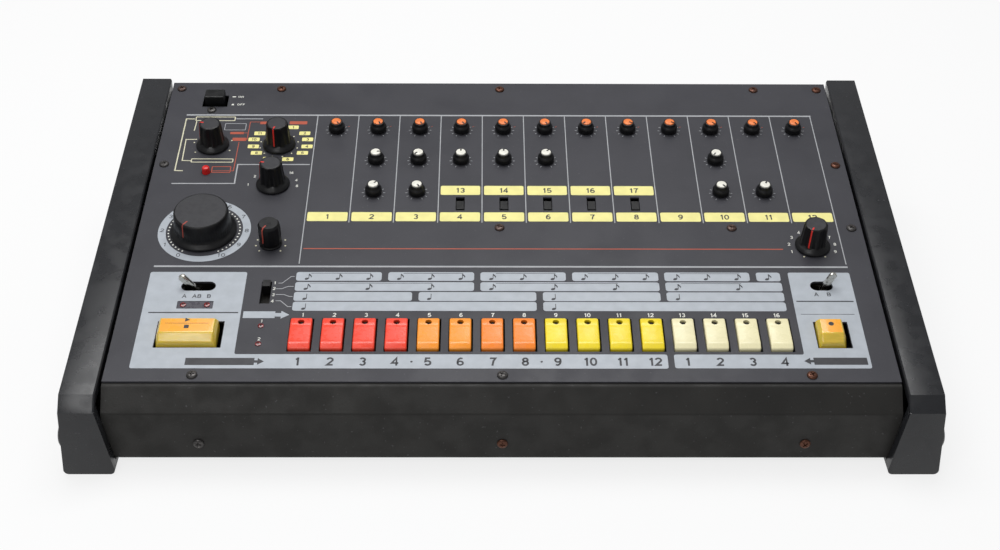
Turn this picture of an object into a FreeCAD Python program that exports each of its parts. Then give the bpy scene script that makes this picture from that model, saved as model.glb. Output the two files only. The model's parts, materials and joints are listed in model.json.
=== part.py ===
import FreeCAD, Part
import os
import re
import Sketcher

# Drum machine, in millimetres. X runs to the right, Y to the back and Z up. The origin is on the surface that the
# machine stands on, in the middle of its width and depth. The control panel slopes down to the front. Places on it
# are given as u, to the right from its middle, v, up the slope from where the cheeks' top begins, and h, the height
# above the panel's face.

SIZES = {
    # case
    "case_depth": 307.5,
    "tray_width": 460,
    "cheek_top_width": 20.3,
    "cheek_outer_flare": 3,
    "cheek_inner_flare": 7.2,
    "front_height": 53,
    "nose_height": 45.5,
    "nose_depth": 7.8,
    "rear_height": 98.3,
    "cheek_wall": 3,
    "cheek_roof": 6,
    "foot_corner": 3,
    "cheek_bevel": 0.8,
    "fit_gap": 0.3,
    "side_gap": 1.7,
    "boss_radius": 6,
    # sheet metal
    "sheet": 1.2,
    "panel_drop": 2,
    "panel_front": 12,
    "rear_inset": 0.9,
    "lip_depth": 4.5,
    "tray_floor": 5.5,
    "front_setback": 7,
    "rear_setback": 4,
    "fold_height": 39,
    "tuck_front": 9.5,
    "flange_width": 15,
    "rear_flange_width": 10,
    "bend_radius": 2.4,
    # columns and rows of the panel
    "column_inset": 118.7,
    "column_end_inset": 29.67,
    "level_row": 247,
    "tone_row": 213.8,
    "decay_row": 180.6,
    "slot_row": 169.7,
    "selector_inset": 80.8,
    "selector_v": 230.6,
    "mode_inset": 36.2,
    "mode_v": 230,
    "fill_v": 188.6,
    "tempo_inset": 41.4,
    "tempo_v": 143,
    "fine_inset": 85.2,
    "fine_v": 130.5,
    "volume_inset": 34,
    "volume_v": 129,
    "clear_inset": 35.4,
    "clear_v": 201.5,
    "power_inset": 32,
    "power_v": 279.6,
    "prescale_inset": 86.5,
    "prescale_v": 86,
    "basic_inset": 45,
    "basic_v": 91.6,
    "fill_toggle_inset": 34,
    "fill_toggle_v": 92.4,
    "lamp_window_v": 75.2,
    "lamp_spread": 7.2,
    "part_lamp_v": 57.3,
    "part_lamp_step": 15.1,
    "key_inset": 110.7,
    "key_end_inset": 65.05,
    "key_v": 49.8,
    "start_inset": 44.9,
    "tap_inset": 33.8,
    "big_key_v": 50.1,
    # small knobs
    "knob_gap": 0.5,
    "knob_base_radius": 5.5,
    "knob_skirt_height": 1.2,
    "knob_neck_radius": 4.3,
    "knob_height": 7.4,
    "cap_radius": 3.2,
    "cap_height": 1.4,
    "cap_sink": 0.8,
    "notch_width": 1.1,
    "notch_depth": 1.3,
    "shaft_radius": 1.5,
    "shaft_hole_gap": 0.5,
    "seat_gap": 0.05,
    # large knobs
    "selector_skirt_radius": 11,
    "selector_waist_radius": 8.4,
    "selector_top_radius": 7.2,
    "selector_height": 18.8,
    "skirt_height": 2.4,
    "tempo_skirt_radius": 21,
    "tempo_waist_radius": 18.2,
    "tempo_top_radius": 16.8,
    "tempo_height": 16.8,
    "fine_skirt_radius": 7.3,
    "fine_waist_radius": 6.9,
    "fine_top_radius": 6.3,
    "fine_height": 17.4,
    "crown_bevel": 0.8,
    "big_shaft_radius": 3,
    "pointer_width": 0.9,
    "pointer_depth": 0.5,
    # keys and buttons
    "key_width": 13.4,
    "key_length": 26.4,
    "key_gap": 0.55,
    "key_travel": 1.8,
    "key_front_rise": 0.6,
    "key_ridge_rise": 2.2,
    "key_ridge_run": 3.9,
    "key_rear_rise": 1.4,
    "key_skirt": 5,
    "key_wall": 1.6,
    "lamp_radius": 1.5,
    "lamp_rise": 0.8,
    "lamp_hole_radius": 1.9,
    "lamp_from_rear": 3.9,
    "start_width": 35.4,
    "tap_width": 16.2,
    "big_key_length": 20,
    "big_key_rise": 5.4,
    "big_key_front_rise": 1,
    "big_key_ridge_run": 6.6,
    "big_key_front_run": 1.2,
    "big_key_side_bevel": 1.8,
    "big_key_gap": 0.8,
    "big_key_side_gap": 1.9,
    "big_key_shift": 1.1,
    "power_width": 13.5,
    "power_length": 9.2,
    "power_rise": 7,
    "power_gap": 1.9,
    "power_travel": 3,
    "power_stem": 8,
    "power_drop": 22,
    "clear_radius": 2.7,
    "clear_rise": 4.4,
    "clear_gap": 0.35,
    "button_edge": 0.9,
    # toggles and sliders
    "toggle_drop": 5.5,
    "toggle_length": 17.3,
    "toggle_width": 3.8,
    "toggle_tip_width": 4.4,
    "toggle_thickness": 2,
    "toggle_pin_radius": 1.2,
    "toggle_slot": 7.6,
    "basic_slot": 20.6,
    "fill_slot": 13.5,
    "basic_lean": 35,
    "fill_lean": 22,
    "slot_width": 5.8,
    "slot_length": 13.2,
    "slider_width": 4.8,
    "slider_length": 8,
    "slider_rise": 0.4,
    "slider_throw": 3.6,
    "prescale_slot_width": 6.2,
    "prescale_slot_length": 19.2,
    "prescale_tab_length": 5.6,
    "prescale_throw": 13,
    "prescale_rise": 2,
    # lamps
    "window_width": 21.2,
    "window_length": 6,
    # boards behind the panel
    "board_drop": 14.4,
    "board_thickness": 1.6,
    "small_pot_width": 10,
    "small_pot_height": 6.4,
    "big_pot_radius": 8,
    "big_pot_height": 8.4,
    "key_switch_width": 12,
    "key_switch_height": 5,
    "plunger_width": 3,
    "plunger_height": 1.8,
    "slide_switch_depth": 5.5,
    "post_radius": 2.6,
    "post_inset": 5,
    # base electronics
    "leg_height": 6,
    "leg_radius": 2.5,
    "leg_inset": 6,
    "processor_board_width": 220,
    "processor_board_depth": 130,
    "processor_board_x": -50,
    "processor_board_y": -30,
    "power_board_width": 120,
    "power_board_depth": 90,
    "power_board_inset": 80,
    "power_board_y": 50,
    "transformer_inset": 70,
    "transformer_y": 85,
    "chip_pitch": 34,
    "chip_row_pitch": 24,
    "chip_length": 20,
    "chip_width": 7.6,
    "chip_height": 3.6,
    "processor_length": 50,
    "processor_width": 14,
    "core_width": 56,
    "core_depth": 24,
    "core_height": 46,
    "winding_width": 36,
    "winding_depth": 44,
    "winding_height": 30,
    "capacitor_radius": 6,
    "capacitor_height": 22,
    "capacitor_pitch": 22,
    "heat_sink_width": 60,
    # rear sockets
    "jack_bore_radius": 3.25,
    "jack_bush_radius": 4.5,
    "jack_bush_proud": 3.2,
    "jack_bore_depth": 31,
    "jack_body_width": 14,
    "jack_body_height": 12,
    "jack_body_depth": 28,
    "jack_nut_radius": 6.4,
    "jack_nut_height": 2.4,
    "jack_pitch": 26,
    "jack_inset": 84,
    "voice_row_height": 66,
    "trigger_row_height": 34,
    "sync_x": 40,
    "sync_radius": 8,
    "inlet_inset": 40,
    "inlet_width": 26,
    "inlet_height": 17,
    "inlet_depth": 20,
    "inlet_wall": 2.5,
    "inlet_pin_radius": 1.2,
    "inlet_pin_spread": 5,
    # screws
    "screw_radius": 1.45,
    "screw_hole_radius": 1.75,
    "screw_length": 6,
    "screw_head_radius": 3.2,
    "screw_head_height": 1.5,
    "front_screw_inset": 54,
    "deck_screw_inset": 51,
    "front_screw_z": 17.5,
    "bolt_radius": 2.2,
    "bolt_head_radius": 7.6,
    "bolt_head_height": 3.2,
    "bolt_head_gap": 0.6,
    "bolt_from_end": 11,
    "bolt_z": 21,
}

# What the other places follow from: the panel's slope and face, and the steel tray that hangs between the cheeks.
DERIVED = {
    "tilt": ("Angle", "atan((rear_height - front_height) / (case_depth - nose_depth))"),
    "deck_y": ("Float", "nose_depth + panel_drop * sin(tilt) - case_depth / 2"),
    "deck_z": ("Float", "front_height - panel_drop * cos(tilt)"),
    "deck_rear": ("Float", "(case_depth - rear_inset - nose_depth - panel_drop * sin(tilt)) / cos(tilt)"),
    "tray_half": ("Float", "tray_width / 2"),
    "cheek_inner": ("Float", "tray_half + side_gap"),
    "cheek_outer": ("Float", "cheek_inner + cheek_top_width"),
    "foot_inner": ("Float", "cheek_inner - cheek_inner_flare"),
    "foot_outer": ("Float", "cheek_outer + cheek_outer_flare"),
    "front_y": ("Float", "front_setback - case_depth / 2"),
    "rear_y": ("Float", "case_depth / 2 - rear_setback"),
    "tuck_y": ("Float", "deck_y + tuck_front * cos(tilt) + sheet * sin(tilt)"),
    "tuck_z": ("Float", "deck_z + tuck_front * sin(tilt) - sheet * cos(tilt)"),
    "band_lean": ("Angle", "atan((tuck_y - front_y) / (tuck_z - fold_height))"),
    "board_face": ("Float", "0 - board_drop"),
    "recess_x": ("Float", "tray_half + fit_gap"),
    "key_half": ("Float", "key_length / 2"),
    "bolt_face_x": ("Float", "foot_outer - cheek_outer_flare * bolt_z / nose_height"),
    "mode_u": ("Float", "mode_inset - tray_half"),
    "selector_u": ("Float", "selector_inset - tray_half"),
    "tempo_u": ("Float", "tempo_inset - tray_half"),
    "fine_u": ("Float", "fine_inset - tray_half"),
    "clear_u": ("Float", "clear_inset - tray_half"),
    "power_u": ("Float", "power_inset - tray_half"),
    "prescale_u": ("Float", "prescale_inset - tray_half"),
    "basic_u": ("Float", "basic_inset - tray_half"),
    "start_u": ("Float", "start_inset - tray_half"),
    "volume_u": ("Float", "tray_half - volume_inset"),
    "fill_toggle_u": ("Float", "tray_half - fill_toggle_inset"),
    "tap_u": ("Float", "tray_half - tap_inset"),
    "column_first": ("Float", "column_inset - tray_half"),
    "column_pitch": ("Float", "(tray_width - column_inset - column_end_inset) / 11"),
    "key_first": ("Float", "key_inset - tray_half"),
    "key_pitch": ("Float", "(tray_width - key_inset - key_end_inset) / 15"),
    "power_board_x": ("Float", "tray_half - power_board_inset"),
    "transformer_x": ("Float", "transformer_inset - tray_half"),
    "jack_row_first": ("Float", "jack_inset - tray_half"),
    "inlet_x": ("Float", "inlet_inset - tray_half"),
    "front_screw_x": ("Float", "tray_half - front_screw_inset"),
    "deck_screw_u": ("Float", "tray_half - deck_screw_inset"),
}

COLUMNS = range(12)
# How far each level knob is turned to the left of twelve o'clock, in degrees, as it is set.
LEVEL_TURNS = [-150, -150, -150, -145, -135, -150, 130, -120, -115, -140, -140, -150]
# Column, name and turn of the knobs of the two lower rows.
TONE_COLUMNS = {
    1: ("bass_tone_knob", -85),
    2: ("snare_tone_knob", 135),
    3: ("low_tuning_knob", 0),
    4: ("mid_tuning_knob", -5),
    5: ("high_tuning_knob", -35),
    9: ("cymbal_tone_knob", 145),
}
DECAY_COLUMNS = {
    1: ("bass_decay_knob", -45),
    2: ("snare_snappy_knob", -150),
    9: ("cymbal_decay_knob", -140),
    10: ("hat_decay_knob", -25),
}
SLOT_COLUMNS = range(3, 8)
STEPS = range(16)
BIG_KNOB_PLACES = {
    "mode_knob": ("mode_u", "mode_v"),
    "instrument_knob": ("selector_u", "selector_v"),
    "fill_knob": ("selector_u", "fill_v"),
    "tempo_knob": ("tempo_u", "tempo_v"),
    "fine_tempo_knob": ("fine_u", "fine_v"),
    "volume_knob": ("volume_u", "volume_v"),
}
# Where the large knobs point, in degrees to the left of three o'clock.
BIG_KNOB_TURNS = {
    "mode_knob": 170,
    "instrument_knob": 255,
    "fill_knob": 175,
    "tempo_knob": 228,
    "fine_tempo_knob": 240,
    "volume_knob": 240,
}
TOGGLE_SLOTS = [
    ("basic_u", "basic_v", "basic_slot"),
    ("fill_toggle_u", "fill_toggle_v", "fill_slot"),
]
OUTPUTS = range(13)
TRIGGERS = range(5)

doc = FreeCAD.newDocument("drum_machine")
sheet = doc.addObject("Spreadsheet::Sheet", "Sizes")
for row, (alias, size) in enumerate(SIZES.items(), start=1):
    sheet.set(f"A{row}", alias)
    sheet.set(f"B{row}", str(size))
    sheet.setAlias(f"B{row}", alias)
doc.recompute()
frame = doc.addObject("App::VarSet", "Frame")


def formula(text):
    """The text as an expression, with each named size spelled as its own cell or as a value of the frame."""

    def spelled(word):
        if word.group() in SIZES:
            return "Sizes." + word.group()
        if word.group() in DERIVED:
            return "Frame." + word.group()
        return word.group()

    return re.sub(r"\b[a-z_]+\b", spelled, text)


def bind(item, path, text):
    """Ties one property to a formula of named sizes."""
    item.setExpression(path, formula(text))


def value(text):
    """What a formula of named sizes comes to now."""
    result = frame.evalExpression(formula(text))
    return float(getattr(result, "Value", result))


for word, (kind, text) in DERIVED.items():
    frame.addProperty("App::Property" + kind, word, "Frame")
    bind(frame, word, text)
    doc.recompute()


# Places and copies


def put(item, x="0", y="0", z="0"):
    """Puts an object at a point of its parent's frame."""
    for axis, text in zip("xyz", (x, y, z)):
        bind(item, "Placement.Base." + axis, text)
    return item


def seat(item, u="0", v="0", h="0"):
    """Puts an object on the sloping panel, with its own Z along the panel's normal."""
    item.Placement = FreeCAD.Placement(FreeCAD.Vector(), FreeCAD.Rotation(FreeCAD.Vector(1, 0, 0), 1))
    bind(item, "Placement.Rotation.Angle", "tilt")
    return put(
        item,
        u,
        f"deck_y + ({v}) * cos(tilt) - ({h}) * sin(tilt)",
        f"deck_z + ({v}) * sin(tilt) + ({h}) * cos(tilt)",
    )


def under_deck(y, h):
    """The height of a plane that runs h above the panel's face, at a given Y."""
    return f"(deck_z + (({y}) - deck_y) * tan(tilt) + ({h}) / cos(tilt))"


def column(k):
    """Where a voice column lies across the panel."""
    return f"column_first + {k} * column_pitch"


def step(k):
    """Where a step key lies across the panel."""
    return f"key_first + {k} * key_pitch"


def copy(master, x="0", y="0", z="0", axis=None, turn=0):
    """Another of the same piece, turned about one axis and moved."""
    link = doc.addObject("App::Link", master.Name + "_copy")
    link.LinkedObject = master
    link.LinkTransform = True
    if axis:
        link.Placement = FreeCAD.Placement(FreeCAD.Vector(), FreeCAD.Rotation(FreeCAD.Vector(*axis), turn))
    return put(link, x, y, z)


nodes = []


def node(name, pieces):
    """A sub-part of its own: one or more solids that belong together."""
    group = doc.addObject("Part::Compound", name)
    group.Label = name
    group.Links = pieces
    nodes.append(group)
    return group


# Primitives and booleans


def primitive(kind, name, x="0", y="0", z="0", **measures):
    """A primitive whose measures and place are tied to named sizes."""
    item = doc.addObject("Part::" + kind, name)
    for measure, text in measures.items():
        bind(item, measure, text)
    return put(item, x, y, z)


def rod(name, radius, height, x="0", y="0", z="0"):
    """An upright cylinder."""
    return primitive("Cylinder", name, x, y, z, Radius=radius, Height=height)


def block(name, width, depth, height, x="0", y="0", z="0"):
    """A box that is centred on x and y and stands on z."""
    return primitive(
        "Box",
        name,
        f"{x} - ({width}) / 2",
        f"{y} - ({depth}) / 2",
        z,
        Length=width,
        Width=depth,
        Height=height,
    )


def fused(name, *pieces):
    """One solid of several."""
    item = doc.addObject("Part::MultiFuse", name)
    item.Shapes = pieces
    return item


def cut(name, base, *tools):
    """A solid with others taken out of it."""
    item = doc.addObject("Part::Cut", name)
    item.Base = base
    item.Tool = tools[0] if len(tools) == 1 else fused(name + "_tools", *tools)
    return item


# Sketches and features


def new_body(name):
    """An empty body, whose name is its label."""
    return doc.addObject("PartDesign::Body", name)


def origin_plane(body, role):
    """One of the body's own origin planes."""
    return next(part for part in body.Origin.OriginFeatures if part.Role == role)


def sketch_on(body, role, name, lift="0"):
    """An empty sketch on an origin plane, lifted along the plane's normal."""
    sketch = body.newObject("Sketcher::SketchObject", name)
    sketch.AttachmentSupport = (origin_plane(body, role), [""])
    sketch.MapMode = "FlatFace"
    bind(sketch, "AttachmentOffset.Base.z", lift)
    return sketch


def tie(sketch, rules, ties):
    """Adds a sketch's constraints at once, then ties the measured ones to their formulas."""
    first = sketch.ConstraintCount
    sketch.addConstraint(rules + [Sketcher.Constraint(*measure, value(text)) for measure, text in ties])
    for index, (measure, text) in enumerate(ties, start=first + len(rules)):
        bind(sketch, f"Constraints[{index}]", text)


def outline(sketch, points):
    """Draws a closed outline of straight lines through points given as formulas."""
    first = sketch.GeometryCount
    corners = [FreeCAD.Vector(value(x), value(y), 0) for x, y in points]
    count = len(points)
    sketch.addGeometry([Part.LineSegment(corners[i], corners[(i + 1) % count]) for i in range(count)], False)
    rules = [
        Sketcher.Constraint("Coincident", first + i, 2, first + (i + 1) % count, 1) for i in range(count)
    ]
    ties = []
    for i, (x, y) in enumerate(points):
        ties.append((("DistanceX", first + i, 1), x))
        ties.append((("DistanceY", first + i, 1), y))
    tie(sketch, rules, ties)


def rounds(sketch, circles):
    """Draws circles, each given as the formulas of its centre and radius."""
    first = sketch.GeometryCount
    up = FreeCAD.Vector(0, 0, 1)
    sketch.addGeometry(
        [Part.Circle(FreeCAD.Vector(value(x), value(y), 0), up, value(r)) for x, y, r in circles], False
    )
    ties = []
    for i, (x, y, r) in enumerate(circles, start=first):
        ties.append((("DistanceX", i, 3), x))
        ties.append((("DistanceY", i, 3), y))
        ties.append((("Radius", i), r))
    tie(sketch, [], ties)


def rectangle(x, y, width, height):
    """The corners of a rectangle about a centre."""
    left, right = f"{x} - ({width}) / 2", f"{x} + ({width}) / 2"
    low, high = f"{y} - ({height}) / 2", f"{y} + ({height}) / 2"
    return [(left, low), (right, low), (right, high), (left, high)]


def pad(body, sketch, length, symmetric=False):
    """Raises a sketch to a solid."""
    feature = body.newObject("PartDesign::Pad", sketch.Name + "_pad")
    feature.Profile = sketch
    if symmetric:
        feature.SideType = "Symmetric"
    bind(feature, "Length", length)
    doc.recompute()
    return feature


def pocket(body, sketch, length):
    """Takes a sketch out of the body, to both sides of its plane."""
    before = body.Shape.Volume
    feature = body.newObject("PartDesign::Pocket", sketch.Name + "_pocket")
    feature.Profile = sketch
    feature.SideType = "Symmetric"
    bind(feature, "Length", length)
    doc.recompute()
    if body.Shape.Volume > before - 0.001:
        raise ValueError(sketch.Name + " takes nothing away")
    return feature


def row_of(body, feature, axis, pitch, count):
    """Repeats a feature along an axis of its sketch."""
    pattern = body.newObject("PartDesign::LinearPattern", feature.Name + "_row")
    pattern.Originals = [feature]
    pattern.Direction = (feature.Profile[0], [axis])
    pattern.Occurrences = count
    bind(pattern, "Length", f"{pitch} * {count - 1}")
    body.Tip = pattern
    doc.recompute()
    return pattern


def turned(name, points):
    """A turned piece: a half outline of radius and height, revolved about the upright axis."""
    body = new_body(name)
    half = sketch_on(body, "XZ_Plane", name + "_half")
    outline(half, points)
    feature = body.newObject("PartDesign::Revolution", name + "_turn")
    feature.Profile = half
    feature.ReferenceAxis = (half, ["V_Axis"])
    feature.Angle = 360
    doc.recompute()
    return body


def edges(feature, wanted):
    """The names of a feature's edges that a test picks out."""
    return [f"Edge{i}" for i, edge in enumerate(feature.Shape.Edges, start=1) if wanted(edge)]


def dress(body, kind, feature, wanted, measure, text):
    """Rounds or bevels the edges that a test picks out."""
    names = edges(feature, wanted)
    trim = body.newObject("PartDesign::" + kind, feature.Name + "_" + kind.lower())
    trim.Base = (feature, names)
    bind(trim, measure, text)
    doc.recompute()
    return trim


def along(edge, axis):
    """Whether an edge is straight and runs along one axis."""
    ends = [v.Point for v in edge.Vertexes]
    if len(ends) != 2 or edge.Curve.TypeId != "Part::GeomLine":
        return False
    run = (ends[1] - ends[0]).normalize()
    return abs(getattr(run, axis)) > 0.999


def near(number, text):
    """Whether a number is what a formula comes to."""
    return abs(number - value(text)) < 0.01


# Case


def cheek():
    """The right end cheek: a moulded shell that stands on the floor, open towards the tray."""
    body = new_body("cheek_form")
    front, rear = "0 - case_depth / 2", "case_depth / 2"
    section = sketch_on(body, "XZ_Plane", "cheek_section")
    outline(
        section,
        [
            ("foot_inner", "0"),
            ("foot_outer", "0"),
            ("cheek_outer", "nose_height"),
            ("cheek_outer", "rear_height"),
            ("cheek_inner", "rear_height"),
            ("cheek_inner", "nose_height"),
        ],
    )
    pad(body, section, "case_depth", symmetric=True)
    clear_top = "rear_height + cheek_wall"
    slope = sketch_on(body, "YZ_Plane", "cheek_slope", "cheek_outer")
    outline(
        slope,
        [
            (front, "nose_height"),
            (f"{front} + nose_depth", "front_height"),
            (rear, "rear_height"),
            (rear, clear_top),
            (f"{front} - cheek_wall", clear_top),
            (f"{front} - cheek_wall", "nose_height"),
        ],
    )
    feature = pocket(body, slope, "4 * (cheek_top_width + cheek_inner_flare + cheek_outer_flare)")
    low_edges = dress(
        body,
        "Fillet",
        feature,
        lambda edge: along(edge, "y") and abs(edge.BoundBox.ZMax) < 0.01,
        "Radius",
        "foot_corner",
    )
    dress(
        body,
        "Chamfer",
        low_edges,
        lambda edge: near(edge.BoundBox.XMin, "cheek_inner")
        and near(edge.BoundBox.XMax, "cheek_inner")
        and edge.BoundBox.ZMax > value("front_height") - 0.01,
        "Size",
        "cheek_bevel",
    )
    recess = sketch_on(body, "YZ_Plane", "cheek_recess", "foot_inner")
    outline(
        recess,
        [
            ("front_y - fit_gap", "tray_floor - fit_gap"),
            ("rear_y + fit_gap", "tray_floor - fit_gap"),
            ("rear_y + fit_gap", clear_top),
            ("front_y - fit_gap", clear_top),
        ],
    )
    pocket(body, recess, "2 * (recess_x - foot_inner)")
    return body


def cheek_hollow(body):
    """Hollows the cheek behind the tray's end, and leaves two bosses for the bolts."""
    inside = "(cheek_outer - cheek_wall)"
    hollow = sketch_on(body, "YZ_Plane", "cheek_cavity", f"(recess_x + {inside}) / 2")
    low, high = "front_y", "rear_y"
    outline(
        hollow,
        [
            (low, "cheek_wall + tray_floor"),
            (high, "cheek_wall + tray_floor"),
            (high, under_deck(high, "panel_drop - cheek_roof")),
            (low, under_deck(low, "panel_drop - cheek_roof")),
        ],
    )
    pocket(body, hollow, f"{inside} - recess_x")
    bosses = sketch_on(body, "YZ_Plane", "cheek_bosses", "recess_x")
    rounds(bosses, [(y, "bolt_z", "boss_radius") for y in bolt_places()])
    pad(body, bosses, f"{inside} - recess_x")
    holes = sketch_on(body, "YZ_Plane", "cheek_bolt_holes", "cheek_outer")
    rounds(holes, [(y, "bolt_z", "bolt_radius + fit_gap") for y in bolt_places()])
    pocket(body, holes, "4 * cheek_top_width")


def bolt_places():
    """Where the two bolts of a cheek lie along the depth."""
    return ["bolt_from_end - case_depth / 2", "case_depth / 2 - bolt_from_end"]


def panel():
    """The sloping steel panel, with a hole for everything that passes through it and a lip at its rear."""
    body = new_body("top_panel")
    side = sketch_on(body, "YZ_Plane", "panel_side")
    outline(
        side,
        [
            ("panel_front", "0"),
            ("deck_rear", "0"),
            ("deck_rear", "0 - lip_depth"),
            ("deck_rear - sheet", "0 - lip_depth"),
            ("deck_rear - sheet", "0 - sheet"),
            ("panel_front", "0 - sheet"),
        ],
    )
    feature = pad(body, side, "2 * tray_half", symmetric=True)
    dress(
        body,
        "Fillet",
        feature,
        lambda edge: along(edge, "x") and near(edge.BoundBox.YMin, "deck_rear") and near(edge.BoundBox.ZMin, "0"),
        "Radius",
        "sheet",
    )
    depth = "4 * sheet"
    shaft_hole = "shaft_radius + shaft_hole_gap"
    big_hole = "big_shaft_radius + shaft_hole_gap"
    levels = sketch_on(body, "XY_Plane", "level_holes")
    rounds(levels, [("column_first", "level_row", shaft_hole)])
    row_of(body, pocket(body, levels, depth), "H_Axis", "column_pitch", len(COLUMNS))
    turning = sketch_on(body, "XY_Plane", "knob_holes")
    rounds(
        turning,
        [(column(k), "tone_row", shaft_hole) for k in TONE_COLUMNS]
        + [(column(k), "decay_row", shaft_hole) for k in DECAY_COLUMNS]
        + [(u, v, big_hole) for u, v in BIG_KNOB_PLACES.values()]
        + [("clear_u", "clear_v", "clear_radius + clear_gap")]
        + [("prescale_u", part_lamp_v, "lamp_hole_radius") for part_lamp_v in part_lamp_rows()],
    )
    pocket(body, turning, depth)
    screws = sketch_on(body, "XY_Plane", "screw_holes")
    rounds(screws, [(u, v, "screw_hole_radius") for u, v in deck_screw_places()])
    pocket(body, screws, depth)
    slots = sketch_on(body, "XY_Plane", "voice_slots")
    outline(slots, rectangle(column(SLOT_COLUMNS[0]), "slot_row", "slot_width", "slot_length"))
    row_of(body, pocket(body, slots, depth), "H_Axis", "column_pitch", len(SLOT_COLUMNS))
    keys = sketch_on(body, "XY_Plane", "key_holes")
    outline(keys, rectangle("key_first", "key_v", "key_width + 2 * key_gap", "key_length + 2 * key_gap"))
    row_of(body, pocket(body, keys, depth), "H_Axis", "key_pitch", len(STEPS))
    windows = sketch_on(body, "XY_Plane", "windows")
    for u, width in (("start_u", "start_width"), ("tap_u", "tap_width")):
        outline(
            windows,
            rectangle(u, "big_key_v", f"{width} + 2 * big_key_side_gap", "big_key_length + 2 * big_key_gap"),
        )
    outline(
        windows,
        rectangle("power_u", "power_v", "power_width + 2 * power_gap", "power_length + 2 * power_gap"),
    )
    outline(windows, rectangle("prescale_u", "prescale_v", "prescale_slot_width", "prescale_slot_length"))
    outline(windows, rectangle("basic_u", "lamp_window_v", "window_width", "window_length"))
    for u, v, length in TOGGLE_SLOTS:
        outline(windows, rectangle(u, v, f"{length} - toggle_slot", "toggle_slot"))
    pocket(body, windows, depth)
    ends = sketch_on(body, "XY_Plane", "toggle_slot_ends")
    rounds(
        ends,
        [
            (f"{u} {side} ({length} - toggle_slot) / 2", v, "toggle_slot / 2")
            for u, v, length in TOGGLE_SLOTS
            for side in "-+"
        ],
    )
    pocket(body, ends, depth)
    seat(body)
    nodes.append(body)


def part_lamp_rows():
    """The two lamps beside the step keys."""
    return ["part_lamp_v", "part_lamp_v - part_lamp_step"]


def flange_screw_places():
    """Screws of the panel's front, rear and sides, which go into the tray's flanges."""
    front, rear = "panel_front + 5", "deck_rear - 8.2"
    side = "tray_half - flange_width / 2 + 1"
    places = [("0 - deck_screw_u", front), ("0", front), ("deck_screw_u", front)]
    places += [("selector_u - 4.3", rear), ("0", rear), ("deck_screw_u", rear)]
    places += [(f"0 - ({side})", rear), (side, rear)]
    places += [(f"0 - ({side})", "level_row - 37.5"), (side, "level_row - 37.5"), (side, "slot_row - 23.7")]
    return places


def post_screw_places():
    """Screws of the panel that hold the posts of what hangs below it."""
    low = "slot_row - 23.7"
    return [("power_u - 1.5", "power_v - 11"), (column(4) + " - 3", low), (column(9) + " + 3.3", low)]


def deck_screw_places():
    """Every screw that shows on the panel."""
    return flange_screw_places() + post_screw_places()


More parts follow.
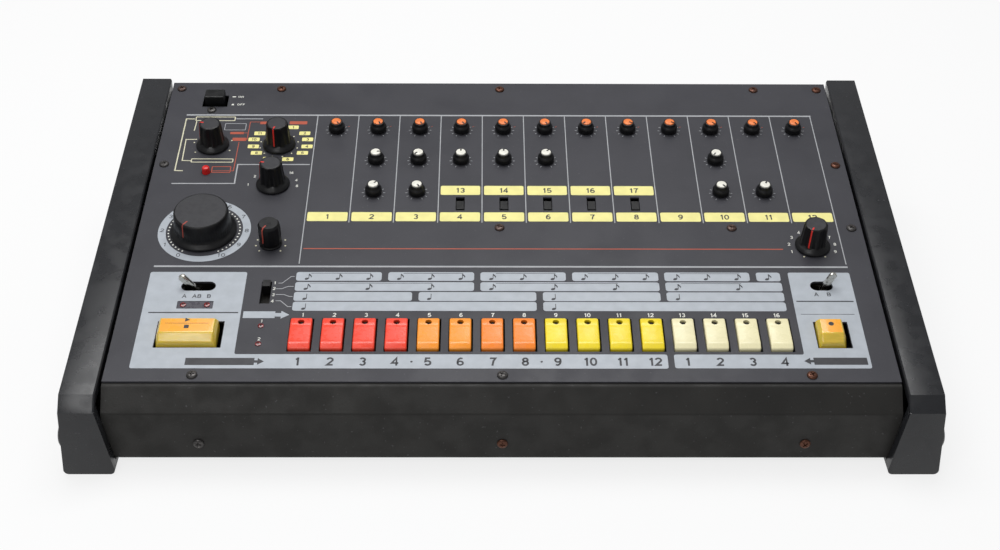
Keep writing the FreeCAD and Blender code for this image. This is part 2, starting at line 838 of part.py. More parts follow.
def tray():
    """The folded steel tray: floor, front with its sloping band, rear wall, ends, and flanges under the panel."""
    body = new_body("bottom_tray")
    under, below = "0 - sheet", "0 - 2 * sheet"
    flange_front_v = "tuck_front + flange_width"
    flange_front_y = f"(deck_y + ({flange_front_v}) * cos(tilt) + sheet * sin(tilt))"
    flange_rear_y = "(rear_y - rear_flange_width)"
    turn = "((90 deg - tilt - band_lean) / 2)"
    inner_tuck_y = f"(tuck_y + sheet * cos(band_lean) - sheet * tan({turn}) * sin(band_lean))"
    side = sketch_on(body, "YZ_Plane", "tray_side")
    inner_path = [
        ("rear_y - sheet", under_deck("rear_y - sheet", below)),
        ("rear_y - sheet", "tray_floor + sheet"),
        ("front_y + sheet", "tray_floor + sheet"),
        ("front_y + sheet", "fold_height - sheet * tan(band_lean / 2)"),
        (inner_tuck_y, under_deck(inner_tuck_y, below)),
    ]
    outline(
        side,
        [
            (flange_front_y, under_deck(flange_front_y, under)),
            ("tuck_y", "tuck_z"),
            ("front_y", "fold_height"),
            ("front_y", "tray_floor"),
            ("rear_y", "tray_floor"),
            ("rear_y", under_deck("rear_y", under)),
            (flange_rear_y, under_deck(flange_rear_y, under)),
            (flange_rear_y, under_deck(flange_rear_y, below)),
        ]
        + inner_path
        + [(flange_front_y, under_deck(flange_front_y, below))],
    )
    feature = pad(body, side, "2 * tray_half", symmetric=True)
    dress(
        body,
        "Fillet",
        feature,
        lambda edge: along(edge, "x")
        and (
            (near(edge.BoundBox.YMin, "front_y") and edge.BoundBox.ZMin > value("tray_floor") - 0.01)
            or (near(edge.BoundBox.YMin, "tuck_y") and near(edge.BoundBox.ZMin, "tuck_z"))
        ),
        "Radius",
        "bend_radius",
    )
    for hand, lift in (("left", "0 - tray_half"), ("right", "tray_half - sheet")):
        end = sketch_on(body, "YZ_Plane", hand + "_end", lift)
        outline(end, inner_path)
        pad(body, end, "sheet")
        strip = sketch_on(body, "YZ_Plane", hand + "_flange", lift if hand == "left" else "tray_half - flange_width")
        outline(
            strip,
            [
                (inner_tuck_y, under_deck(inner_tuck_y, below)),
                ("rear_y - sheet", under_deck("rear_y - sheet", below)),
                ("rear_y - sheet", under_deck("rear_y - sheet", under)),
                (inner_tuck_y, under_deck(inner_tuck_y, under)),
            ],
        )
        pad(body, strip, "flange_width")
    screws = sketch_on(body, "XY_Plane", "flange_holes")
    screws.AttachmentOffset = FreeCAD.Placement(
        FreeCAD.Vector(), FreeCAD.Rotation(FreeCAD.Vector(1, 0, 0), 1)
    )
    bind(screws, "AttachmentOffset.Rotation.Angle", "tilt")
    bind(screws, "AttachmentOffset.Base.y", "deck_y + 1.5 * sheet * sin(tilt)")
    bind(screws, "AttachmentOffset.Base.z", "deck_z - 1.5 * sheet * cos(tilt)")
    rounds(screws, [(u, v, "screw_radius + seat_gap") for u, v in flange_screw_places()])
    pocket(body, screws, "4 * sheet")
    front = sketch_on(body, "XZ_Plane", "front_screw_holes", "0 - front_y")
    rounds(front, [(x, "front_screw_z", "screw_hole_radius") for x in front_screw_places()])
    pocket(body, front, "4 * sheet")
    rear = sketch_on(body, "XZ_Plane", "socket_holes", "0 - rear_y")
    rounds(
        rear,
        [(x, z, "jack_bush_radius + seat_gap") for x, z in jack_places()]
        + [("sync_x", "trigger_row_height", "sync_radius + seat_gap")],
    )
    outline(
        rear,
        rectangle("inlet_x", "trigger_row_height", "inlet_width + 2 * seat_gap", "inlet_height + 2 * seat_gap"),
    )
    pocket(body, rear, "4 * sheet")
    ends = sketch_on(body, "YZ_Plane", "tray_bolt_holes")
    rounds(ends, [(y, "bolt_z", "bolt_radius + seat_gap") for y in bolt_places()])
    pocket(body, ends, "4 * tray_half")
    nodes.append(body)


def front_screw_places():
    """Where the three screws of the tray's front lie across it."""
    return ["0 - front_screw_x", "0", "front_screw_x"]


def jack_places():
    """Sockets of the rear wall: the voice and mix outputs above, triggers and foot switches below."""
    upper = [(f"jack_row_first + {k} * jack_pitch", "voice_row_height") for k in OUTPUTS]
    lower = [(f"jack_row_first + {k} * jack_pitch", "trigger_row_height") for k in TRIGGERS]
    return upper + lower


def screws():
    """Every screw and bolt that holds the case together."""
    deck = turned(
        "deck_screw",
        [
            ("0", "0 - screw_length"),
            ("screw_radius", "0 - screw_length"),
            ("screw_radius", "0"),
            ("screw_head_radius", "0"),
            ("screw_head_radius", "screw_head_height * 0.4"),
            ("screw_head_radius * 0.6", "screw_head_height"),
            ("0", "screw_head_height"),
        ],
    )
    bolt = turned(
        "cheek_bolt",
        [
            ("0", "tray_half - 4 * sheet - bolt_face_x"),
            ("bolt_radius", "tray_half - 4 * sheet - bolt_face_x"),
            ("bolt_radius", "bolt_head_gap"),
            ("bolt_head_radius", "bolt_head_gap"),
            ("bolt_head_radius", "bolt_head_height * 0.3"),
            ("bolt_head_radius * 0.8", "bolt_head_height * 0.75"),
            ("bolt_head_radius * 0.4", "bolt_head_height"),
            ("0", "bolt_head_height"),
        ],
    )
    pieces = []
    for u, v in deck_screw_places():
        pieces.append(seat(copy(deck), u, v))
    for x in front_screw_places():
        pieces.append(copy(deck, x, "front_y", "front_screw_z", (1, 0, 0), 90))
    for y in bolt_places():
        pieces.append(copy(bolt, "bolt_face_x", y, "bolt_z", (0, 1, 0), 90))
        pieces.append(copy(bolt, "0 - bolt_face_x", y, "bolt_z", (0, 1, 0), -90))
    node("case_screws", pieces)


# Knobs


def small_knobs():
    """The level, tone, tuning and decay knobs: a black skirted body, a coloured cap with a notch, and a shaft."""
    bore = "shaft_radius + seat_gap"
    pocket_radius = "cap_radius + seat_gap"
    floor = "knob_height - cap_sink"
    body = turned(
        "small_knob_body",
        [
            (bore, "knob_gap"),
            ("knob_base_radius", "knob_gap"),
            ("knob_base_radius", "knob_gap + knob_skirt_height"),
            ("knob_neck_radius", "knob_gap + 2 * knob_skirt_height"),
            ("knob_neck_radius - 0.3", "knob_height"),
            (pocket_radius, "knob_height"),
            (pocket_radius, floor),
            (bore, floor),
        ],
    )
    cap = cut(
        "small_knob_cap",
        rod("cap_disc", "cap_radius", "cap_height", z=floor),
        block("cap_notch", "notch_width", "notch_depth * 2", "cap_height * 2", y="cap_radius", z=floor),
    )
    shaft = rod("small_knob_shaft", "shaft_radius", f"{floor} - (0 - board_drop) - 4", z="0 - board_drop + 4")
    for k in COLUMNS:
        small_knob(f"level_knob_{k + 1:02}", body, cap, shaft, column(k), "level_row", LEVEL_TURNS[k])
    for k, (name, turn) in TONE_COLUMNS.items():
        small_knob(name, body, cap, shaft, column(k), "tone_row", turn)
    for k, (name, turn) in DECAY_COLUMNS.items():
        small_knob(name, body, cap, shaft, column(k), "decay_row", turn)


def small_knob(name, body, cap, shaft, u, v, turn):
    """One small knob, with its cap's notch turned to where it is set."""
    seat(node(name, [body, copy(cap, axis=(0, 0, 1), turn=turn), shaft]), u, v)


def big_knob(name, skirt, waist, top, height):
    """A large knob with a skirt, a tapered grip and a groove that points from its middle to its rim."""
    bore = "big_shaft_radius + seat_gap"
    floor = f"{height} - 3"
    body = turned(
        name + "_body",
        [
            (bore, "knob_gap"),
            (skirt, "knob_gap"),
            (skirt, "knob_gap + skirt_height / 2"),
            (f"({skirt} + {waist}) / 2", "knob_gap + skirt_height"),
            (waist, "knob_gap + skirt_height + 1"),
            (top, f"{height} - crown_bevel"),
            (f"{top} - crown_bevel", height),
            ("0", height),
            ("0", floor),
            (bore, floor),
        ],
    )
    groove = sketch_on(body, "XY_Plane", name + "_groove", height)
    groove.AttachmentOffset = FreeCAD.Placement(
        FreeCAD.Vector(), FreeCAD.Rotation(FreeCAD.Vector(0, 0, 1), BIG_KNOB_TURNS[name])
    )
    outline(groove, rectangle(f"{top} * 0.75", "0", top, "pointer_width"))
    pocket(body, groove, "2 * pointer_depth")
    shaft = rod(name + "_shaft", "big_shaft_radius", f"{floor} + board_drop - 4 - seat_gap", z="4 - board_drop")
    seat(node(name, [body, shaft]), *BIG_KNOB_PLACES[name])


def big_knobs():
    """The selectors, the tempo dial, the fine tempo knob and the volume knob, as they are set."""
    selector = ["selector_skirt_radius", "selector_waist_radius", "selector_top_radius", "selector_height"]
    for name in ("mode_knob", "instrument_knob", "fill_knob", "volume_knob"):
        big_knob(name, *selector)
    big_knob("tempo_knob", "tempo_skirt_radius", "tempo_waist_radius", "tempo_top_radius", "tempo_height")
    big_knob("fine_tempo_knob", "fine_skirt_radius", "fine_waist_radius", "fine_top_radius", "fine_height")


# Keys, buttons, toggles and sliders


def step_keys():
    """Sixteen step keys, each hollow below, with a hole for its lamp."""
    body = new_body("step_key_form")
    rear = "key_half"
    side = sketch_on(body, "YZ_Plane", "key_side")
    outline(
        side,
        [
            ("0 - key_half", "0 - key_skirt"),
            (rear, "0 - key_skirt"),
            (rear, "key_rear_rise"),
            ("key_half - key_ridge_run", "(key_rear_rise + key_ridge_rise) / 2"),
            ("key_ridge_run - key_half", "key_ridge_rise"),
            ("0 - key_half", "key_front_rise"),
        ],
    )
    feature = pad(body, side, "key_width", symmetric=True)
    dress(
        body,
        "Fillet",
        feature,
        lambda edge: along(edge, "z") or near(edge.BoundBox.ZMin, "key_ridge_rise"),
        "Radius",
        "button_edge",
    )
    inside = sketch_on(body, "XY_Plane", "key_inside", "0 - key_skirt")
    outline(inside, rectangle("0", "0", "key_width - 2 * key_wall", "key_length - 2 * key_wall"))
    pocket(body, inside, "2 * (key_skirt - key_wall)")
    lamp = sketch_on(body, "XY_Plane", "key_lamp_hole")
    rounds(lamp, [("0", "key_half - lamp_from_rear", "lamp_hole_radius")])
    pocket(body, lamp, "4 * key_skirt")
    for k in STEPS:
        seat(node(f"step_key_{k + 1:02}", [body]), step(k), "key_v")


def big_key(name, u, width):
    """A wide translucent key with a bevel at each side and a sloping front."""
    body = new_body(name + "_form")
    half = "big_key_length / 2"
    side = sketch_on(body, "YZ_Plane", name + "_side")
    outline(
        side,
        [
            (f"0 - {half}", "0 - key_skirt"),
            (half, "0 - key_skirt"),
            (half, "big_key_rise"),
            (f"big_key_ridge_run - {half}", "big_key_rise"),
            (f"big_key_front_run - {half}", "big_key_front_rise"),
            (f"0 - {half}", "big_key_front_rise * 0.6"),
        ],
    )
    pad(body, side, width, symmetric=True)
    shoulder = "0.4 * big_key_front_rise"
    for hand, sign in (("left", "0 -"), ("right", "0 +")):
        bevel = sketch_on(body, "XZ_Plane", f"{name}_{hand}_bevel")
        outline(
            bevel,
            [
                (f"{sign} {width} / 2", shoulder),
                (f"{sign} ({width} / 2 + big_key_side_bevel)", shoulder),
                (f"{sign} ({width} / 2 + big_key_side_bevel)", "big_key_rise + key_wall"),
                (f"{sign} ({width} / 2 - big_key_side_bevel)", "big_key_rise"),
            ],
        )
        pocket(body, bevel, "2 * big_key_length")
    inside = sketch_on(body, "XY_Plane", name + "_inside", "0 - key_skirt")
    outline(inside, rectangle("0", "0", f"{width} - 2 * key_wall", "big_key_length - 2 * key_wall"))
    pocket(body, inside, "2 * (key_skirt - key_wall)")
    seat(node(name, [body]), f"{u} - big_key_shift", "big_key_v")


def buttons():
    """The square power button and the round clear button, each on its stem."""
    cap = new_body("power_cap")
    top = sketch_on(cap, "XY_Plane", "power_cap_top", "0 - key_skirt")
    outline(top, rectangle("0", "0", "power_width", "power_length"))
    feature = pad(cap, top, "power_rise + key_skirt")
    dress(
        cap,
        "Fillet",
        feature,
        lambda edge: edge.BoundBox.ZMax > value("power_rise") - 0.01,
        "Radius",
        "button_edge",
    )
    stem = block("power_stem", "plunger_width", "plunger_width", "power_stem", z="0 - key_skirt - power_stem")
    seat(node("power_button", [cap, stem]), "power_u", "power_v")
    clear = turned(
        "clear_cap",
        [
            ("0", "0 - key_skirt"),
            ("clear_radius", "0 - key_skirt"),
            ("clear_radius", "clear_rise - button_edge"),
            ("clear_radius - button_edge", "clear_rise"),
            ("0", "clear_rise"),
        ],
    )
    seat(node("clear_button", [clear]), "clear_u", "clear_v")


def toggle(name, u, v, lean):
    """A flat lever that leans on its pin below the panel, and widens to its tip."""
    body = new_body(name + "_lever")
    face = sketch_on(body, "XZ_Plane", name + "_face")
    outline(
        face,
        [
            ("0 - toggle_width / 2", "0 - toggle_pin_radius * 2"),
            ("toggle_width / 2", "0 - toggle_pin_radius * 2"),
            ("toggle_width / 2", "0"),
            ("toggle_tip_width / 2", "toggle_length - button_edge"),
            ("toggle_tip_width / 2 - button_edge", "toggle_length"),
            ("button_edge - toggle_tip_width / 2", "toggle_length"),
            ("0 - toggle_tip_width / 2", "toggle_length - button_edge"),
            ("0 - toggle_width / 2", "0"),
        ],
    )
    pad(body, face, "toggle_thickness", symmetric=True)
    pin = sketch_on(body, "XZ_Plane", name + "_pin")
    rounds(pin, [("0", "0", "toggle_pin_radius")])
    pad(body, pin, "toggle_slot + 1.5 * sheet", symmetric=True)
    lever = copy(body, axis=(0, 1, 0), turn=1)
    bind(lever, "Placement.Rotation.Angle", lean)
    seat(node(name, [lever]), u, v, "0 - toggle_drop")


def sliders():
    """The tab of the prescale switch, and the five voice tabs."""
    tab = block(
        "prescale_tab",
        "slider_width",
        "prescale_tab_length",
        "prescale_rise + slide_switch_depth",
        z="0 - slide_switch_depth",
    )
    seat(node("prescale_slider", [tab]), "prescale_u", "prescale_v + prescale_throw / 2")
    voice = block(
        "voice_tab", "slider_width", "slider_length", "slider_rise + slide_switch_depth", z="0 - slide_switch_depth"
    )
    tabs = [copy(voice, column(k), "slot_row - slider_throw / 2") for k in SLOT_COLUMNS]
    seat(node("voice_sliders", tabs))


# What is behind the panel

# Each board's left, right, front and rear edge.
BOARDS = {
    "voice_board": (column(0) + " - 14.7", column(11) + " + 15.7", "slot_row - 28.7", "level_row + 15"),
    "selector_board": ("tempo_u - 27.4", "fine_u + 14.8", "fine_v - 18.5", "selector_v + 31.4"),
    "step_board": ("prescale_u - 12", step(15) + " + 13.5", "key_v - 20.8", "prescale_v + 19"),
    "start_board": ("start_u - 29.9", "start_u + 29.1", "big_key_v - 21.1", "basic_v + 13.4"),
    "volume_board": ("tap_u - 17.2", "tap_u + 19.8", "big_key_v - 21.1", "volume_v + 9"),
}


def boards():
    """The circuit boards under the panel with their pots, switches, lamps and posts."""
    low = "board_face"
    pieces = []
    for name, (left, right, front, back) in BOARDS.items():
        pieces.append(
            primitive(
                "Box",
                name,
                left,
                front,
                "board_face - board_thickness",
                Length=f"{right} - ({left})",
                Width=f"{back} - ({front})",
                Height="board_thickness",
            )
        )
    small_pot = cut(
        "small_pot",
        block("small_pot_case", "small_pot_width", "small_pot_width", "small_pot_height"),
        rod("small_pot_bore", "shaft_radius + seat_gap", "small_pot_height", z="4 - seat_gap"),
    )
    for k in COLUMNS:
        pieces.append(copy(small_pot, column(k), "level_row", low))
    for k in TONE_COLUMNS:
        pieces.append(copy(small_pot, column(k), "tone_row", low))
    for k in DECAY_COLUMNS:
        pieces.append(copy(small_pot, column(k), "decay_row", low))
    big_pot = cut(
        "big_pot",
        rod("big_pot_case", "big_pot_radius", "big_pot_height"),
        rod("big_pot_bore", "big_shaft_radius + seat_gap", "big_pot_height", z="4 - seat_gap"),
    )
    for u, v in BIG_KNOB_PLACES.values():
        pieces.append(copy(big_pot, u, v, low))
    key_switch = fused(
        "key_switch",
        block("key_switch_case", "key_switch_width", "key_switch_width", "key_switch_height"),
        block("key_switch_plunger", "plunger_width", "plunger_width", "plunger_height", z="key_switch_height"),
    )
    for k in STEPS:
        pieces.append(copy(key_switch, step(k), "key_v - 4", low))
    for u in ("start_u", "tap_u"):
        pieces.append(copy(key_switch, f"{u} - big_key_shift", "big_key_v", low))
    clear_switch = block(
        "clear_switch", "plunger_width * 2", "plunger_width * 2", "board_drop - key_skirt - 2 * key_travel"
    )
    pieces.append(copy(clear_switch, "clear_u", "clear_v", low))
    lamp_height = "board_drop + lamp_rise - lamp_radius"
    lamp = fused(
        "lamp",
        rod("lamp_form", "lamp_radius", lamp_height),
        primitive("Sphere", "lamp_tip", z=lamp_height, Radius="lamp_radius"),
    )
    lamp_places = [(step(k), "key_v + key_half - lamp_from_rear") for k in STEPS]
    lamp_places += [("prescale_u", v) for v in part_lamp_rows()]
    lamp_places += [(f"basic_u {side} lamp_spread", "lamp_window_v") for side in "-+"]
    for u, v in lamp_places:
        pieces.append(copy(lamp, u, v, low))
    pieces += slide_switches(low) + toggle_cases(low) + posts() + power_switch()
    seat(node("panel_boards", pieces))


def slide_switches(low):
    """The bodies of the slide switches, each a block below its slot."""
    height = "board_drop - slide_switch_depth - fit_gap"
    voice = block("voice_switch", "slot_width + 2", "slot_length + 4", height)
    prescale = block("prescale_switch", "prescale_slot_width + 2", "prescale_slot_length + 4", height)
    return [copy(voice, column(k), "slot_row", low) for k in SLOT_COLUMNS] + [
        copy(prescale, "prescale_u", "prescale_v", low)
    ]


def toggle_cases(low):
    """The bodies of the two toggles, open at the top, with ears that carry the lever's pin."""
    case = block("toggle_case_form", "basic_slot", "toggle_slot + 2 * sheet", "board_drop - toggle_pin_radius * 2")
    room = block("toggle_case_room", "basic_slot - 2 * sheet", "toggle_slot", "board_drop", z="sheet")
    bore = rod("toggle_case_bore", "toggle_pin_radius + seat_gap", "2 * toggle_slot")
    bore.Placement = FreeCAD.Placement(FreeCAD.Vector(), FreeCAD.Rotation(FreeCAD.Vector(1, 0, 0), -90))
    put(bore, "0", "0 - toggle_slot", "board_drop - toggle_drop")
    case = cut("toggle_case", case, room, bore)
    return [copy(case, u, v, low) for u, v, _ in TOGGLE_SLOTS]


def posts():
    """Posts from the panel's underside to the corners of the boards, and those that the panel's screws go into."""
    post = rod("post", "post_radius", "board_drop - sheet")
    bored = cut(
        "screw_post",
        rod("screw_post_form", "post_radius", "board_drop - sheet"),
        rod("screw_post_bore", "screw_radius + seat_gap", "board_drop"),
    )
    corners = [
        (u, v)
        for left, right, front, back in BOARDS.values()
        for u in (f"{left} + post_inset", f"{right} - post_inset")
        for v in (f"{front} + post_inset", f"{back} - post_inset")
    ]
    plain = [copy(post, u, v, "board_face") for u, v in corners]
    return plain + [copy(bored, u, v, "board_face") for u, v in post_screw_places()[1:]]


def power_switch():
    """The power switch, on a plate that hangs from the panel on two posts."""
    face = "0 - power_drop"
    plate = block(
        "power_plate", "2 * power_width", "2.4 * power_length", "sheet", "power_u", "power_v - 2", f"{face} - sheet"
    )
    height = "power_drop - key_skirt - power_travel - fit_gap"
    case = cut(
        "power_switch",
        block("power_switch_form", "power_width", "power_length", height),
        block(
            "power_switch_bore",
            "plunger_width + 4 * seat_gap",
            "plunger_width + 4 * seat_gap",
            height,
            z="power_drop - key_skirt - power_stem - power_travel - fit_gap",
        ),
    )
    post = rod("power_post", "post_radius", "power_drop - sheet")
    bored = cut("power_screw_post", post, rod("power_post_bore", "screw_radius + seat_gap", "power_drop"))
    screw_u, screw_v = post_screw_places()[0]
    return [
        plate,
        copy(case, "power_u", "power_v", face),
        copy(bored, screw_u, screw_v, face),
        copy(post, "power_u + 10", "power_v - 9", face),
    ]


# What stands on the tray's floor


def base_electronics():
    """The processor board, the power board and the transformer."""
    floor = "tray_floor + sheet"
    face = f"{floor} + leg_height + board_thickness"
    leg = rod("leg", "leg_radius", "leg_height")
    chip = block("chip", "chip_length", "chip_width", "chip_height")
    capacitor = rod("capacitor", "capacitor_radius", "capacitor_height")
    pieces = []
    for name in ("processor_board", "power_board"):
        x, y, width, depth = (name + word for word in ("_x", "_y", "_width", "_depth"))
        pieces.append(block(name, width, depth, "board_thickness", x, y, f"{floor} + leg_height"))
        for across in "-+":
            for deep in "-+":
                pieces.append(
                    copy(
                        leg,
                        f"{x} {across} ({width} / 2 - leg_inset)",
                        f"{y} {deep} ({depth} / 2 - leg_inset)",
                        floor,
                    )
                )
    for across in range(5):
        for deep in range(3):
            chip_x = f"processor_board_x + {across - 2} * chip_pitch"
            chip_y = f"processor_board_y + {deep - 1} * chip_row_pitch - chip_row_pitch / 2"
            pieces.append(copy(chip, chip_x, chip_y, face))
    processor_y = "processor_board_y + 1.8 * chip_row_pitch"
    pieces.append(
        block("processor", "processor_length", "processor_width", "chip_height", "processor_board_x", processor_y, face)
    )
    for across in range(3):
        capacitor_x = f"power_board_x + {across - 1} * capacitor_pitch"
        pieces.append(copy(capacitor, capacitor_x, "power_board_y + capacitor_pitch", face))
    pieces.append(
        block(
            "heat_sink",
            "heat_sink_width",
            "3",
            "capacitor_height",
            "power_board_x",
            "power_board_y - capacitor_pitch",
            face,
        )
    )
    lift = "(core_height - winding_height) / 2"
    core = cut(
        "transformer_core",
        block("core_form", "core_width", "core_depth", "core_height"),
        block("core_window", "winding_width", "core_depth * 2", "winding_height", z=lift),
    )
    winding = block("transformer_winding", "winding_width", "winding_depth", "winding_height", z=lift)
    for piece in (core, winding):
        pieces.append(copy(piece, "transformer_x", "transformer_y", floor))
    node("base_electronics", pieces)


def sockets():
    """The rear sockets: bushed jacks with their nuts, a round sync socket and the mains inlet."""
    body = block("jack_body", "jack_body_width", "jack_body_height", "jack_body_depth", z="0 - sheet - jack_body_depth")
    bush = rod("jack_bush", "jack_bush_radius", "sheet + jack_bush_proud", z="0 - sheet")
    bore = rod("jack_bore", "jack_bore_radius", "jack_bore_depth", z="jack_bush_proud - jack_bore_depth")
    jack = cut("jack", fused("jack_form", body, bush), bore)
    nut = cut(
        "jack_nut",
        primitive("Prism", "jack_nut_form", Polygon="6", Circumradius="jack_nut_radius", Height="jack_nut_height"),
        rod("jack_nut_hole", "jack_bush_radius + seat_gap", "jack_nut_height"),
    )
    sync = cut(
        "sync_socket",
        fused(
            "sync_form",
            rod("sync_barrel", "sync_radius", "sheet + jack_body_depth / 2", z="0 - sheet - jack_body_depth / 2"),
            rod("sync_flange", "sync_radius + 2", "sheet"),
        ),
        rod("sync_recess", "sync_radius - 1.2", "jack_body_depth / 4 + sheet", z="0 - jack_body_depth / 4"),
    )
    outlet_room = block(
        "inlet_room",
        "inlet_width - 2 * inlet_wall",
        "inlet_height - 2 * inlet_wall",
        "inlet_depth",
        z="inlet_wall + sheet - inlet_depth",
    )
    inlet = cut(
        "inlet_shell",
        fused(
            "inlet_form",
            block("inlet_case", "inlet_width", "inlet_height", "inlet_depth", z="sheet - inlet_depth"),
            block("inlet_flange", "inlet_width + 4", "inlet_height + 4", "sheet"),
        ),
        outlet_room,
    )
    pin = rod("inlet_pin", "inlet_pin_radius", "inlet_depth - 2 * inlet_wall", z="inlet_wall + sheet - inlet_depth")
    pieces = []
    for x, z in jack_places():
        pieces.append(copy(jack, x, "rear_y", z, (1, 0, 0), -90))
        pieces.append(copy(nut, x, "rear_y", z, (1, 0, 0), -90))
    pieces.append(copy(sync, "sync_x", "rear_y", "trigger_row_height", (1, 0, 0), -90))
    pieces.append(copy(inlet, "inlet_x", "rear_y", "trigger_row_height", (1, 0, 0), -90))
    for side in "-+":
        pieces.append(
            copy(pin, f"inlet_x {side} inlet_pin_spread", "rear_y", "trigger_row_height", (1, 0, 0), -90)
        )
    node("rear_sockets", pieces)


def cheeks():
    """The right cheek, and the left one as its mirror image."""
    form = cheek()
    cheek_hollow(form)
    node("right_cheek", [form])
    mirror = doc.addObject("Part::Mirroring", "cheek_mirror")
    mirror.Source = form
    mirror.Normal = (1, 0, 0)
    node("left_cheek", [mirror])


def check(item):
    """Stops where an object has failed, or a sub-part's shape is empty or not valid."""
    if any(word in item.State for word in ("Invalid", "Error")):
        raise ValueError(f"{item.Label} failed")
    if item in nodes and (item.Shape.isNull() or not item.Shape.isValid() or not item.Shape.Solids):
        raise ValueError(f"{item.Label} has no sound shape")


cheeks()
panel()
tray()
screws()
small_knobs()
big_knobs()
step_keys()
big_key("start_key", "start_u", "start_width")
big_key("tap_key", "tap_u", "tap_width")
buttons()
toggle("basic_toggle", "basic_u", "basic_v", "0 - basic_lean")
toggle("fill_toggle", "fill_toggle_u", "fill_toggle_v", "fill_lean")
sliders()
boards()
base_electronics()
sockets()

doc.recompute()
for item in doc.Objects:
    check(item)
os.makedirs("parts", exist_ok=True)
for item in nodes:
    item.Shape.exportStep(f"parts/{item.Label}.step")
print(len(nodes), "sub-parts written")
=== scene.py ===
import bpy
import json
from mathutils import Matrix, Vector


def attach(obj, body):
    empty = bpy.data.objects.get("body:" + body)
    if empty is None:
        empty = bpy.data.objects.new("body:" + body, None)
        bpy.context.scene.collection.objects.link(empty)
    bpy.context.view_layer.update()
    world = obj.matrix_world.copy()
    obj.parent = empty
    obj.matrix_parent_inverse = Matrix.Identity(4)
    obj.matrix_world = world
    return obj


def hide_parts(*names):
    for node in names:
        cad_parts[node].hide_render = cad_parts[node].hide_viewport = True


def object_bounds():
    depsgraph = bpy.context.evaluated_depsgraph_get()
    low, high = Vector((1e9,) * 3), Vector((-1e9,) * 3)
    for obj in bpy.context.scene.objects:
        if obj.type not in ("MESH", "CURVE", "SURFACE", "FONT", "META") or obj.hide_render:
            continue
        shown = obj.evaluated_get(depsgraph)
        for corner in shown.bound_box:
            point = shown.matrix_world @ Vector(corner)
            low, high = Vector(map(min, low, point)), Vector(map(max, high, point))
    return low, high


bl_info = {
    "name": "Drum Machine",
    "version": (1, 0, 0),
    "blender": (4, 5, 0),
    "location": "View3D > Sidebar > Drum Machine",
    "description": "Dresses the packed drum machine with its prints, knobs, keys, screws, finishes and stage",
    "category": "Object",
}

import json
import math

import bmesh
import bpy
from mathutils import Matrix, Vector

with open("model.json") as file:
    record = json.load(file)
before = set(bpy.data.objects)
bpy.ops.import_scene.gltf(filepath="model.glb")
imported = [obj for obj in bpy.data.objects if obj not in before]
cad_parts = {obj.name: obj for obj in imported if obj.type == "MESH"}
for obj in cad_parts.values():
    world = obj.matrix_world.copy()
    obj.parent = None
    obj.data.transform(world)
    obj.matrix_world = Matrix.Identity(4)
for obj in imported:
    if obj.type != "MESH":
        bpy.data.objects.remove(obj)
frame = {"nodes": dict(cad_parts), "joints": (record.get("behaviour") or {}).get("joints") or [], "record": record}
CAD_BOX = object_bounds()
JOINTS = {joint["name"]: joint for joint in frame["joints"]}
MM = 0.001
CASE = "case"

# Degrees from 3 o'clock, anticlockwise, that each large knob's line points to.
LARGE_KNOBS = {"mode_knob": 170, "instrument_knob": 255, "fill_knob": 175, "volume_knob": 240}
TONE_KNOBS = ("bass_tone", "snare_tone", "low_tuning", "mid_tuning", "high_tuning", "cymbal_tone")
DECAY_KNOBS = ("bass_decay", "snare_snappy", "cymbal_decay", "hat_decay")
LEVEL_NODES = [f"level_knob_{k:02}" for k in range(1, 13)]
WHITE_NODES = [word + "_knob" for word in TONE_KNOBS + DECAY_KNOBS]
KEY_NODES = [f"step_key_{k:02}" for k in range(1, 17)]
KEY_COLOURS = ["red"] * 4 + ["light_orange"] * 2 + ["orange"] * 2 + ["yellow"] * 4 + ["cream"] * 4
# Places on the panel, in mm: u from its middle to the right, v up its slope.
KEY_U = [-119.3 + 18.95 * k for k in range(16)]
COLUMN_PITCH = 28.33
COLUMN_U = [-111.3 + COLUMN_PITCH * k for k in range(12)]
LEVEL_V = 247
LAMP_V = 59.1
STEP_KEY_V = 50.3
WIDE_KEY_V = 50.1
START_U = -186.2
TAP_U = 195.1
WIDE_KEY_TOP = 5.4
# A print's underside lies this far in the surface, in mm.
SINK = 0.005
# The crescent and its numbers lie this far right of the tempo knob's axis, in mm.
CRESCENT_SHIFT = 0.5
# Where the painted lines of the tempo knobs point, from 3 o'clock, anticlockwise.
TEMPO_AIM = math.radians(236)
FINE_AIM = math.radians(240)
# Places of the front's and the cheeks' fasteners in the case's frame, in mm.
FRONT_SCREW_Z = 17.5
# The tray's front lies this far behind the cheeks' front, in mm.
FRONT_SET_BACK = 7
BOLT_FACE_X = 253.6
BOLT_Z = 21
BOLT_FROM_END = 11


def deck_frame():
    """The sloping panel's own frame in mm: u to the right, v up the slope, h out of it."""
    joint = JOINTS["level_knob_01_turn"]
    out = Vector(joint["axis"]).normalized()
    up = Vector((0, out.z, -out.y))
    start = Vector(joint["pos_m"]) - Vector((1, 0, 0)) * COLUMN_U[0] * MM - up * LEVEL_V * MM
    turn = Matrix((Vector((1, 0, 0)), up, out)).transposed().to_4x4()
    return Matrix.Translation(start) @ turn @ Matrix.Scale(MM, 4)


DECK = deck_frame()


def deck_spot(node):
    """Where a turning knob's axis meets the panel, as (u, v)."""
    spot = DECK.inverted() @ Vector(JOINTS[node + "_turn"]["pos_m"])
    return spot.x, spot.y


def linear(code):
    """The linear RGBA of an sRGB hex colour."""
    parts = [int(code[i : i + 2], 16) / 255 for i in (1, 3, 5)]
    return tuple(c / 12.92 if c <= 0.04045 else ((c + 0.055) / 1.055) ** 2.4 for c in parts) + (1.0,)


def colour(name, description, code):
    """A colour that the sidebar shows."""
    return bpy.props.FloatVectorProperty(
        name=name, description=description, subtype="COLOR", size=4, min=0, max=1, default=linear(code)
    )


